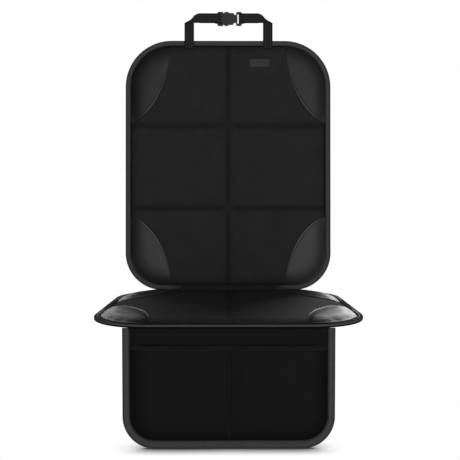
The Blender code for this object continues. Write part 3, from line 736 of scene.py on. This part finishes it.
def tape_section(props, top, bottom):
    """Section of the folded tape as (outward, height) points round a closed U.

    The outside is a half-round edge between two lips; a shallow groove lies where the stitching
    pulls the lip down, and a second one a third of the way in. The inside is the outside moved
    in by the tape's thickness. A second array holds painted shade for each point: the lip's two
    sides, the fold's lower half, the rear lip and the inside are painted darker.
    """
    half = (top - bottom) / 2 + props.thick
    n = np.linspace(-props.lip, 0.0, 20)
    soft = 0.2 * MM * (1 - bell(n + props.lip, 0, 2.2))
    crease = 0.42 * MM * bell(n, -3.4, 0.7) + 0.30 * MM * bell(n + props.lip, SEAM, 0.7)
    a = np.linspace(math.pi / 2, 0.0, 9)[1:]
    power = 0.75
    turn = stack(props.proud * np.cos(a) ** power, (half + 0.2 * MM) * np.sin(a) ** power)
    inner_half = (top - bottom) / 2 + 0.05 * MM
    round_in = stack((props.proud - props.thick) * np.cos(a), inner_half * np.sin(a))
    outer = mirrored(stack(n, half + soft - crease), turn)
    inner = mirrored(stack(np.linspace(-props.lip, 0.0, 7), inner_half), round_in)
    front = 0.3 + 0.7 * rise(n + props.lip, 0, 3.5) - 0.35 * rise(n, -3.5, 3.5)
    above, below = 0.65 + 0.35 * ease((math.pi / 2 - a) / 0.8), 1.0 - ease(a / 0.25)
    rear = 0.7 * rise(-n[::-1], 0, 4)
    shade = np.concatenate([front, above, below[-2::-1], rear, np.full(len(inner), 0.3)])
    return np.concatenate([outer, inner[::-1]]) + [0.0, (top + bottom) / 2], shade


def tape_top(name):
    """Height of the cloth under the face lip of a panel's or the flap's tape."""
    return pocket_base() + CLOTH + 0.2 * MM if name == "flap" else RIM_TOP + 0.5 * MM


def lay_tape(name, props, neck, bottom, warp=None, dull=1.0, wide=0.0):
    """Carry the tape's section along the outline, with the slight unevenness of sewing."""
    board, top = BOARDS[name], tape_top(name)
    path = rim_path(board, neck, 7 * MM)
    section, shade = tape_section(props, top, bottom)
    u, v, nu, nv = (path[:, k:k + 1] for k in range(4))
    length = lengths(path[:, :2])[:, None]
    uneven = 0.25 * MM * ripple(length, 0 * length, 11, 38.0)
    n = section[None, :, 0] * (1.0 + wide * np.maximum(nv, 0.0) * (section[None, :, 0] < 0))
    n = n + uneven * (section[None, :, 0] < -0.5 * props.lip)
    w = section[None, :, 1] + 0.15 * MM * ripple(length, 0 * length, 12, 55.0)
    uu, vv = u + nu * n, v + nv * n
    if warp is not None:
        w = w + warp(uu, vv)
    # Painted shade: where dull is below 1, the lip and the fold's upper part along the panel's far edge
    # are painted darker.
    upper = (section[:, 0] < 1.6 * MM) & (section[:, 1] > (top + bottom) / 2)
    values = shade[None, :] * (1.0 - (1.0 - dull) * upper * ease((nv - 0.8) / 0.2))
    if neck is not None:
        # Painted shadow: the tape darkens over its last 45 mm towards the fold.
        values = values * (0.35 + 0.65 * rise(np.minimum(length, length[-1] - length), 0, 45))
    return sweep(f"{name}_tape", board.place(uu, vv, w), stack(length, lengths(section)[None, :]),
                 flip=not board.turned, values=values)


def flap_warp(u, v):
    """The hanging flap's slow bend: waves that grow from its sewn top edge downwards."""
    return 0.9 * MM * ripple(u, v, 5, 16.0) * rise(v, 0, 120)


class COVER_OT_tape(bpy.types.Operator):
    """Make the binding tape round both panels and the flap"""

    bl_idname = "cover.tape"
    bl_label = "Binding tape"

    def execute(self, context):
        props = context.scene.cover_tape
        tape = ribbed_tape("grosgrain_binding_tape", props.tape, props.rib, 0, shaded=0.08)
        bottom = TUCK - 0.3 * MM
        # dull=0.05 paints shade on the seat tape's front edge.
        pieces = {"back": lay_tape("back", props, NECK_HALF + GAP, bottom),
                  "seat": lay_tape("seat", props, NECK_HALF + GAP, bottom, dull=0.05),
                  "flap": lay_tape("flap", props, None, 0.0, warp=flap_warp, wide=0.18)}
        for name, piece in pieces.items():
            finish_piece(piece, tape, "binding_tape", f"{name}_binding")
        return {"FINISHED"}


# Cloth fold

class COVER_OT_fold(bpy.types.Operator):
    """Make the cloth fold that joins the seat panel to the back panel"""

    bl_idname = "cover.fold"
    bl_label = "Cloth fold"

    def execute(self, context):
        low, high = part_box("fold_web")
        along = BOARDS["back"].along
        turned = math.pi / 2 - math.atan2(along[1], along[2])
        middle, straight = (TUCK + RIM_TOP) / 2, 1.5 * MM
        radius = (high.z - middle - straight) / (1 - math.cos(turned))
        length = 2 * straight + radius * turned
        lap = np.linspace(0.4 * MM, 10.5 * MM, 8)
        bend = np.linspace(-0.2 * MM, length + 0.2 * MM, 24)
        s = np.concatenate([-lap[::-1], bend, length + lap])[:, None]
        u = np.linspace(-NECK_HALF, NECK_HALF, 110)[None, :]
        angle = np.clip((s - straight) / radius, 0.0, turned)
        after = np.maximum(s - straight - radius * turned, 0.0)
        y = low.y + np.minimum(s, straight) + radius * np.sin(angle) + after * math.cos(turned)
        z = middle + radius * (1 - np.cos(angle)) + after * math.sin(turned)
        past = np.maximum(-s, s - length) / lap[-1]
        front = RIM_TOP - middle + 0.6 * MM * np.sqrt(np.clip(1 - past, 0.0, 1.0))
        gather = np.sin(u * 2 * math.pi / (9 * MM) + 2.2 * np.sin(u * 70.0))
        front = front + 0.22 * MM * gather * np.exp(-(past / 0.7) ** 2)
        rear = np.where(past > 0, RIM_TOP - middle + 0.02 * MM, -1.25 * MM)
        sides = [stack(u, y - off * np.sin(angle), z + off * np.cos(angle)) for off in (front, rear)]
        uv = stack(u, s)
        # The fold's cloth has a shade value of 0.55: painted shade in the crease between the panels.
        web = shell("fold_cloth", *sides, uv, values=np.full(uv.shape[:2], 0.55))
        finish_piece(web, bpy.data.materials["oxford_polyester_face"], "woven_cloth", "fold_web")
        return {"FINISHED"}


# Flap and pockets

def pocket_base():
    """Height over the flap's lining at which the pocket cloth starts."""
    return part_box("flap_lining")[1].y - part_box("flap_panel")[0].y + GAP


def pocket_face(props, u, v):
    """Height of the pocket cloth's inside: room x side rise x seam rise, with drape folds.

    It is full at the mouth, held at the border, sewn down along the middle, and pleated a
    little where the middle seam meets the bottom.
    """
    board = BOARDS["flap"]
    held = rise(board.depth(u, np.maximum(v, board.reach / 2)), 12, 38)
    seam = rise(np.abs(u), 0.6, 26)
    folds = 0.5 * MM * ripple(u, v, 21, 30.0) * held * seam
    foot = board.reach - 22 * MM
    pleat = 1.6 * MM * bell(np.hypot(u, (v - foot) * 0.8), 0, 11)
    sink = 0.5 * MM * bell(u, 0, 2.2) * rise(foot - v, 0, 20) * held
    swell = props.room * held * seam + folds + pleat - sink + 0.9 * MM * held
    return pocket_base() + swell + flap_warp(u, v)


class COVER_OT_flap(bpy.types.Operator):
    """Make the front flap, its lining, the pockets and their hem"""

    bl_idname = "cover.flap"
    bl_label = "Flap and pockets"

    def execute(self, context):
        props = context.scene.cover_flap
        board = BOARDS["flap"]
        yarn = 1.1 * MM
        cloth = woven_cloth("oxford_polyester_flap", props.cloth, yarn), "woven_cloth"
        pocket = woven_cloth("oxford_polyester_pocket", props.pocket, yarn, shaded=0.1), "pocket_cloth"
        lining = bpy.data.materials["dotted_grip_lining"], "grip_lining"
        u, v = board.grid(6 * MM, multiple=1)
        warp, base = flap_warp(u, v), pocket_base()
        lining_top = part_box("flap_lining")[1].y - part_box("flap_lining")[0].y
        rear = lay("flap_rear_lining", board, u, v, warp + lining_top, warp, lining, "flap_lining")
        front = lay("flap_cloth", board, u, v, warp + base - GAP, warp + lining_top + GAP, cloth,
                    "flap_panel", fine=True)
        u, v = board.grid(3.5 * MM, props.mouth, multiple=1)
        inside = pocket_face(props, u, v) + 0.05 * MM
        # Painted shade: a dark band down the middle seam, and darker towards the tape round the border.
        seam = 1 - 0.55 * bell(u, 0, 4) * (v < board.reach - 32 * MM)
        face = lay("flap_pocket_cloth", board, u, v, inside + 0.8 * MM, inside, pocket, "flap_pocket",
                   values=rise(board.depth(u, v), 8, 34) * seam)
        self.make_hem(board, props, pocket)
        return {"FINISHED"}

    def make_hem(self, board, props, look):
        """A doubled strip over the pocket's mouth, rounded over its upper edge."""
        limit, round_edge = board.half - 11.2 * MM, 0.9 * MM
        u = np.linspace(-limit, limit, 120)[None, :]
        v = (props.mouth + np.linspace(-round_edge, props.hem, 22))[:, None]
        outer = pocket_face(props, u, v) + 0.85 * MM
        edge = np.minimum(v - props.mouth + round_edge, props.mouth + props.hem - v)
        full = np.sqrt(np.clip(edge / round_edge, 0.0, 1.0))
        groove = 0.3 * MM * bell(v - props.mouth - props.hem, -SEAM, 0.7)
        uv = stack(v, u)
        lay("pocket_mouth_hem", board, u, v, outer + 0.05 * MM + 0.75 * MM * full - groove,
            outer + 0.02 * MM, look, "pocket_hem", uv=uv, values=np.ones(uv.shape[:2]))


# Headrest straps

def strap_sheet(props, side, t, s):
    """Middle surface and normal of a strap, from its flat length s and its width t.

    The flat webbing is bent twice. Over the crease, at 45 degrees to the leg, a point at
    distance d becomes (r sin(d / r), r (1 - cos(d / r))) for half a turn and then runs back.
    Near the fold the band is gathered to 0.55 of its width. Past the buckle's bar it goes
    round half an ellipse and returns behind. The left strap's loop is slack, so it fills the
    plug's slot.
    """
    low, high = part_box("strap_right")
    bend, wrap, root = 1.3 * MM, 3.9 * MM, math.sqrt(0.5)
    centre = high.x - STRAP_HALF - 1.9 * MM + 0.9 * MM * side
    start = BOARDS["back"].heights(low.z)[0]
    band = start + (high.z - low.z) / BOARDS["back"].along[2] - STRAP_HALF
    lane = RIM_TOP + 3.05 * MM
    crease = band - math.pi * bend * root
    ahead = start + s - crease
    delta, slide = (ahead + t) * root, (ahead - t) * root
    angle = np.clip(delta / bend, 0.0, math.pi)
    over = np.where(angle < math.pi, bend * np.sin(angle), math.pi * bend - delta)
    along = np.where(delta < 0, delta, over)
    u = centre + (along - slide) * root
    v = crease + (along + slide) * root
    w = lane + bend * (1 - np.cos(angle))
    normal = np.stack([-np.sin(angle) * root, -np.sin(angle) * root, np.cos(angle)], -1)
    foot = band - props.width / 2
    gather = 0.45 * (1.0 - rise(centre - u, 0, 24))
    v = np.where(v > foot, foot + (v - foot) * (1.0 - gather), v)
    bar = (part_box("buckle_socket")[1].x if side > 0 else -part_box("buckle_plug")[0].x) - 2 * MM
    past = np.where(angle >= math.pi, bar - u, -1.0)
    turn = np.clip(past / wrap, 0.0, math.pi)
    tail = np.clip(past - math.pi * wrap, 0.0, None)
    settle = rise(tail, 0, 13) * (2 * wrap - props.thick - 0.35 * MM)
    wrapped = past > 0
    slack = 1.2 if side > 0 else 1.93
    u = np.where(wrapped, bar - wrap * slack * np.sin(turn) + tail, u)
    w = np.where(wrapped, lane + 2 * bend - wrap + wrap * np.cos(turn) + settle, w)
    around = np.stack([np.sin(turn), 0 * turn, -np.cos(turn)], -1)
    normal = np.where(wrapped[..., None], around, normal)
    return u * side, v, w, normal * [side, 1, 1]


class COVER_OT_straps(bpy.types.Operator):
    """Make the two headrest straps of ribbed webbing"""

    bl_idname = "cover.straps"
    bl_label = "Headrest straps"

    def execute(self, context):
        props = context.scene.cover_straps
        webbing = ribbed_tape("ribbed_polypropylene_webbing", props.webbing, 2.3 * MM, 1, 0.6, shaded=0.35)
        t = np.linspace(-props.width / 2, props.width / 2, 25)[None, :]
        tall = 0.25 * MM
        rib = tall * np.cos(2 * math.pi * t / (props.width / 4))
        thin = (np.abs(t) / (props.width / 2)) ** 12
        half = (props.thick / 2 + rib) * (1 - 0.45 * thin)
        # Painted light: each rib's crest lighter and its hollow darker, and painted shade on the thin
        # edges.
        shade = (0.5 + 0.5 * rib / tall) * (1 - 0.8 * thin)
        for side, word in ((-1, "left"), (1, "right")):
            low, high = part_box(f"strap_{word}")
            s = np.linspace(0.0, high.z - low.z + high.x - low.x + 27 * MM, 420)[:, None]
            u, v, w, normal = strap_sheet(props, side, t, s)
            faces = [BOARDS["back"].place(u + out[..., 0], v + out[..., 1], w + out[..., 2])
                     for out in (normal * half[..., None], -normal * half[..., None])]
            uv = stack(s, t)
            strap = shell(f"headrest_strap_{word}", *faces, uv, flip=side < 0,
                          values=np.broadcast_to(shade, uv.shape[:2]))
            finish_piece(strap, webbing, "strap_webbing", f"strap_{word}")
        return {"FINISHED"}


# Buckle

class COVER_OT_buckle(bpy.types.Operator):
    """Round the edges of the buckle's two moulded halves"""

    bl_idname = "cover.buckle"
    bl_label = "Side-release buckle"

    def execute(self, context):
        plastic = moulded_plastic("moulded_acetal_buckle", context.scene.cover_straps.plastic)
        for node in ("buckle_plug", "buckle_socket"):
            mesh = frame["nodes"][node].data.copy()
            self.close_gaps(mesh, node == "buckle_socket")
            mesh.materials.clear()
            mesh.polygons.foreach_set("use_smooth", np.ones(len(mesh.polygons), bool))
            piece = new_object(node + "_moulding", mesh)
            steps = (("WELD", {"merge_threshold": 0.02 * MM}),
                     ("DECIMATE", {"decimate_type": "DISSOLVE", "angle_limit": math.radians(2)}),
                     ("BEVEL", {"width": 0.45 * MM, "segments": 3, "limit_method": "ANGLE",
                                "angle_limit": math.radians(30)}),
                     ("WEIGHTED_NORMAL", {"keep_sharp": True}))
            for kind, values in steps:
                set_all(piece.modifiers.new(kind.title(), kind), **values)
            finish_piece(piece, plastic, "buckle_plastic", node)
        return {"FINISHED"}

    def close_gaps(self, mesh, socket):
        """Move the socket's mouth up to the plug's shoulder, and lengthen the finger pads."""
        points = np.zeros(len(mesh.vertices) * 3, np.float32)
        mesh.vertices.foreach_get("co", points)
        points = points.reshape(-1, 3)
        along = points[:, 0] - (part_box("buckle_plug")[0].x + 28.5 * MM)
        points[(along > -9.8 * MM) & (along < -8.0 * MM), 0] -= 3.0 * MM
        if socket:
            points[along < along.min() + 0.1 * MM, 0] -= 2.6 * MM
        mesh.vertices.foreach_set("co", points.ravel())
        mesh.update()


# Tag

class COVER_OT_tag(bpy.types.Operator):
    """Make the bare sewn tag"""

    bl_idname = "cover.tag"
    bl_label = "Sewn tag"

    def execute(self, context):
        board = BOARDS["back"]
        low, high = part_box("sewn_tag")
        u = np.linspace(low.x, high.x, 60)[None, :]
        v = np.linspace(*board.heights(low.z, high.z), 28)[:, None]
        from_edge = np.minimum(np.minimum(u - low.x, high.x - u), np.minimum(v - v[0], v[-1] - v))
        raised = 0.25 * MM * (1 - rise(from_edge, 1.6, 0.8))
        base = pad_height("back", u + 0 * v, v + 0 * u)
        top = base + 0.75 * MM * np.sqrt(np.clip(from_edge / (0.5 * MM), 0.04, 1)) + raised
        satin = ribbed_tape("woven_satin_tag", context.scene.cover_straps.tag, 0.9 * MM, 1, 0.55)
        lay("bare_tag", board, u, v, top, base + 0.05 * MM, (satin, "tag_fabric"), "sewn_tag")
        return {"FINISHED"}


# Stitching

PITCH, STITCH, THREAD = 4.2 * MM, 3.3 * MM, 0.75 * MM


def stitch_mesh(name, centres, headings, ups):
    """Many small stitches in one mesh: each is a six-sided spindle that dips in at both ends.

    Its radius is thread/2 x (1 - 0.7 x^4) and its height falls by x^2 towards the ends, where x
    runs from -1 to 1 along it.
    """
    x = np.array([-1.0, -0.8, -0.4, 0.0, 0.4, 0.8, 1.0])
    a = np.arange(6) * math.pi / 3
    radius = (THREAD / 2 * (1.0 - 0.7 * np.abs(x) ** 4))[:, None]
    sag = (-0.5 * THREAD * x ** 2)[:, None]
    centres, headings, ups, aside = (p[:, None, None, :] for p in (centres, headings, ups,
                                                                   np.cross(headings, ups)))
    along = headings * (x * STITCH / 2)[None, :, None, None]
    lift = ups * (sag + radius * np.sin(a)[None, :])[None, :, :, None]
    out = aside * (radius * np.cos(a)[None, :])[None, :, :, None]
    k = np.arange(7 * 6).reshape(7, 6)
    beside = np.roll(k, -1, axis=1)
    quads = np.stack([k[:-1], k[1:], beside[1:], beside[:-1]], -1).reshape(-1, 4)
    caps = np.array([[0, 1, 2, 3], [0, 3, 4, 5], [39, 38, 37, 36], [41, 40, 39, 36]])
    one = np.concatenate([quads, caps])
    faces = (one[None] + (np.arange(len(centres)) * 42)[:, None, None]).reshape(-1, 4)
    return new_mesh(name, centres + along + lift + out, faces)


def spaced(points, ups):
    """Even places along a polyline, with the heading and the up direction at each."""
    length = lengths(points)
    at = np.arange(PITCH / 2, length[-1], PITCH)

    def sample(places, values):
        return np.stack([np.interp(places, length, values[:, k]) for k in range(3)], -1)

    heading = sample(at + PITCH / 4, points) - sample(at - PITCH / 4, points)
    return sample(at, points), heading / np.linalg.norm(heading, axis=1)[:, None], sample(at, ups)


def row(name, u, v, w):
    """One stitched line over a board: its points and the up direction at each."""
    points = BOARDS[name].place(u, v, w)
    return points, np.broadcast_to(BOARDS[name].out, points.shape)


def patch_rows(scene):
    """Along the groove inside each patch's corded edge."""
    for name, _, _, _, u, v, away, depth, _, top in corner_patches(scene.cover_patches):
        k = int(np.argmin(np.abs(away[50] - GROOVE * MM)))
        inside = depth[:, k] > 13 * MM
        yield row(name, u[inside, k], v[inside, k], top[inside, k] + 0.25 * MM)


def tape_rows(scene):
    """Along the inner edge of each tape, on its face side."""
    props = scene.cover_tape
    inset = props.lip - SEAM * MM
    for name, neck in (("back", NECK_HALF), ("seat", NECK_HALF), ("flap", None)):
        path = rim_path(BOARDS[name], neck, 7 * MM)
        u, v = path[:, 0] - path[:, 2] * inset, path[:, 1] - path[:, 3] * inset
        height = tape_top(name) + props.thick + 0.25 * MM
        yield row(name, u, v, height + (flap_warp(u, v) if neck is None else 0.0))


def quilting_rows(scene):
    """Along the floor of each quilting channel."""
    for name in ("back", "seat"):
        board = BOARDS[name]
        v = np.linspace(SEWN_IN, board.reach - SEWN_IN, 160)
        u = np.linspace(SEWN_IN - board.half, board.half - SEWN_IN, 140)
        for uu, vv in [(0.0 * v, v)] + [(u, 0.0 * u + seam) for seam in seam_rows(board)]:
            yield row(name, uu, vv, pad_height(name, uu, vv) + 0.1 * MM)


def pocket_rows(scene):
    """Along the hem and down the middle seam between the pockets."""
    props, board = scene.cover_flap, BOARDS["flap"]
    mouth = props.mouth + props.hem
    u = np.linspace(SEWN_IN - board.half, board.half - SEWN_IN, 160)
    v = np.linspace(mouth + 2 * MM, board.reach - SEWN_IN, 80)
    for uu, vv, over in ((u, 0.0 * u + mouth - SEAM * MM, 1.5 * MM), (0.0 * v, v, 0.95 * MM)):
        yield row("flap", uu, vv, pocket_face(props, uu, vv) + over)


def strap_rows(scene):
    """A crossed box on the foot of each leg."""
    props = scene.cover_straps
    half, start, end = props.width / 2 - 3 * MM, 2.5 * MM, 16.5 * MM
    box = [(-half, start), (half, start), (half, end), (-half, end)]
    lines = [*zip(box, box[1:] + box[:1]), (box[0], box[2]), (box[1], box[3])]
    for side in (-1, 1):
        for first, last in lines:
            t, s = np.linspace(first, last, 12).T
            u, v, w, _ = strap_sheet(props, side, t, s)
            yield row("back", u, v, w + props.thick / 2 + 0.25 * MM)


def tag_rows(scene):
    """Down both short ends of the tag."""
    low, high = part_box("sewn_tag")
    first, last = BOARDS["back"].heights(low.z, high.z)
    v = np.linspace(first + 1.5 * MM, last - 1.5 * MM, 20)
    for x in (low.x + SEAM * MM, high.x - SEAM * MM):
        u = 0.0 * v + x
        yield row("back", u, v, pad_height("back", u, v) + 1.0 * MM)


ROWS = {"patch_stitches": patch_rows, "tape_stitches": tape_rows, "quilting_stitches": quilting_rows,
        "pocket_stitches": pocket_rows, "strap_stitches": strap_rows, "tag_stitches": tag_rows}


class COVER_OT_stitching(bpy.types.Operator):
    """Sew the patches, the tape, the hem, the tag and the straps"""

    bl_idname = "cover.stitching"
    bl_label = "Stitching"

    def execute(self, context):
        thread = sewing_thread("bonded_polyester_thread", context.scene.cover_straps.thread)
        for name, rows in ROWS.items():
            found = zip(*(spaced(*line) for line in rows(context.scene)))
            finish_piece(stitch_mesh(name, *map(np.concatenate, found)), thread, "binding_tape")
        return {"FINISHED"}


# Stage

def mix_by_ray(tree, unseen, seen, output):
    """Show the second shader to the camera, also through clear surfaces, and the first to light."""
    path = add_node(tree, "LightPath").outputs
    ray = maths(tree, "MAXIMUM", path["Is Camera Ray"], path["Is Transmission Ray"])
    mixed = add_node(tree, "MixShader", {0: ray, 1: unseen.outputs[0], 2: seen.outputs[0]})
    add_node(tree, output, {"Surface": mixed.outputs[0]})


class COVER_OT_stage(bpy.types.Operator):
    """Set the floor, the soft lights, the pale world and the camera"""

    bl_idname = "cover.stage"
    bl_label = "Stage"

    def execute(self, context):
        props = context.scene.cover_stage
        scene = context.scene
        scene.view_settings.view_transform = "Standard"
        self.floor(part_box("flap_binding")[0].z - 0.4 * MM)
        self.world(scene, props.sky)
        for name, place, aim, size, power in (
                ("front_panel", (0.8, -4.5, 0.45), (0.0, 0.0, 0.3), (1.55, 1.9), props.key),
                ("rear_right", (0.75, 1.2, 0.5), (0.18, -0.1, 0.0), (0.5, 0.5), props.rear),
                ("rear_left", (-0.75, 1.2, 0.5), (-0.18, -0.1, 0.0), (0.5, 0.5), 0.35 * props.rear)):
            self.light(name, place, aim, size, power)
        camera = bpy.data.cameras.new("camera")
        camera.lens = props.lens
        holder = new_object("camera", camera)
        holder.location = (-0.0035, -1.2553, 0.1936)
        holder.rotation_euler = (math.radians(90 - 1.788), 0.0, math.radians(-0.30))
        scene.camera = holder
        return {"FINISHED"}

    def floor(self, height):
        """A wide pale floor that camera rays see as white, apart from a painted contact shadow: ambient
        occlusion dims its glow near the object.
        """
        corners = np.array([[x, y, height] for x, y in ((-12, -12), (12, -12), (12, 12), (-12, 12))])
        floor = new_mesh("floor", corners, np.array([[0, 1, 2, 3]]))
        made = bpy.data.materials.new("pale_floor")
        made.use_nodes = True
        tree = made.node_tree
        tree.nodes.clear()
        matt = add_node(tree, "BsdfDiffuse", {"Color": (0.8, 0.8, 0.8, 1.0)})
        # Painted shadow: ambient occlusion dims what the camera sees of the floor near the object.
        open_sky = add_node(tree, "AmbientOcclusion", {"Distance": 0.035}, samples=24).outputs["AO"]
        painted_shadow = remap(tree, open_sky, {1: 0.45, 2: 0.97, 3: 0.05, 4: 1.0})
        mix_by_ray(tree, matt, add_node(tree, "Emission", {"Strength": painted_shadow}), "OutputMaterial")
        floor.data.materials.append(made)

    def world(self, scene, strength):
        """White where it is seen, and an even grey sky as light."""
        world = bpy.data.worlds.new("pale_world")
        world.use_nodes = True
        tree = world.node_tree
        tree.nodes.clear()
        sky, white = (add_node(tree, "Background", {"Color": (1, 1, 1, 1), "Strength": power})
                      for power in (strength, 1.0))
        mix_by_ray(tree, sky, white, "OutputWorld")
        scene.world = world

    def light(self, name, place, aim, size, power):
        """A soft light panel that faces a point."""
        data = bpy.data.lights.new(name, "AREA")
        set_all(data, energy=power, shape="RECTANGLE", size=size[0], size_y=size[1])
        lamp = new_object(name, data)
        x, y, z = np.array(aim) - np.array(place)
        lamp.location = place
        lamp.rotation_euler = (math.atan2(math.hypot(x, y), -z), 0.0, math.atan2(y, x) - math.pi / 2)


class COVER_PT_panel(bpy.types.Panel):
    """Lists the cover's pieces in the sidebar"""

    bl_label = "Seat cover"
    bl_idname = "COVER_PT_panel"
    bl_space_type = "VIEW_3D"
    bl_region_type = "UI"
    bl_category = "Seat cover"

    def draw(self, context):
        for operator in OPERATORS:
            self.layout.operator(operator.bl_idname)
        for key in GROUPS:
            group = getattr(context.scene, key)
            box = self.layout.box()
            for name in group.__annotations__:
                box.prop(group, name)


GROUPS = {"cover_pads": CoverPads, "cover_patches": CoverPatches, "cover_tape": CoverTape,
          "cover_flap": CoverFlap, "cover_straps": CoverStraps, "cover_stage": CoverStage}
OPERATORS = (COVER_OT_pads, COVER_OT_linings, COVER_OT_patches, COVER_OT_tape, COVER_OT_fold,
             COVER_OT_flap, COVER_OT_straps, COVER_OT_buckle, COVER_OT_tag, COVER_OT_stitching,
             COVER_OT_stage)
CLASSES = (*GROUPS.values(), *OPERATORS, COVER_PT_panel)


def register():
    """Register the classes and hang the settings on the scene."""
    for made in CLASSES:
        bpy.utils.register_class(made)
    for key, group in GROUPS.items():
        setattr(bpy.types.Scene, key, bpy.props.PointerProperty(type=group))


def unregister():
    """Take the settings and the classes away again."""
    for key in GROUPS:
        delattr(bpy.types.Scene, key)
    for made in reversed(CLASSES):
        bpy.utils.unregister_class(made)


def main():
    """Dress the part."""
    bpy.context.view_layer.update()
    register()
    for operator in OPERATORS:
        group, name = operator.bl_idname.split(".")
        getattr(getattr(bpy.ops, group), name)()


if __name__ == "__main__":
    main()
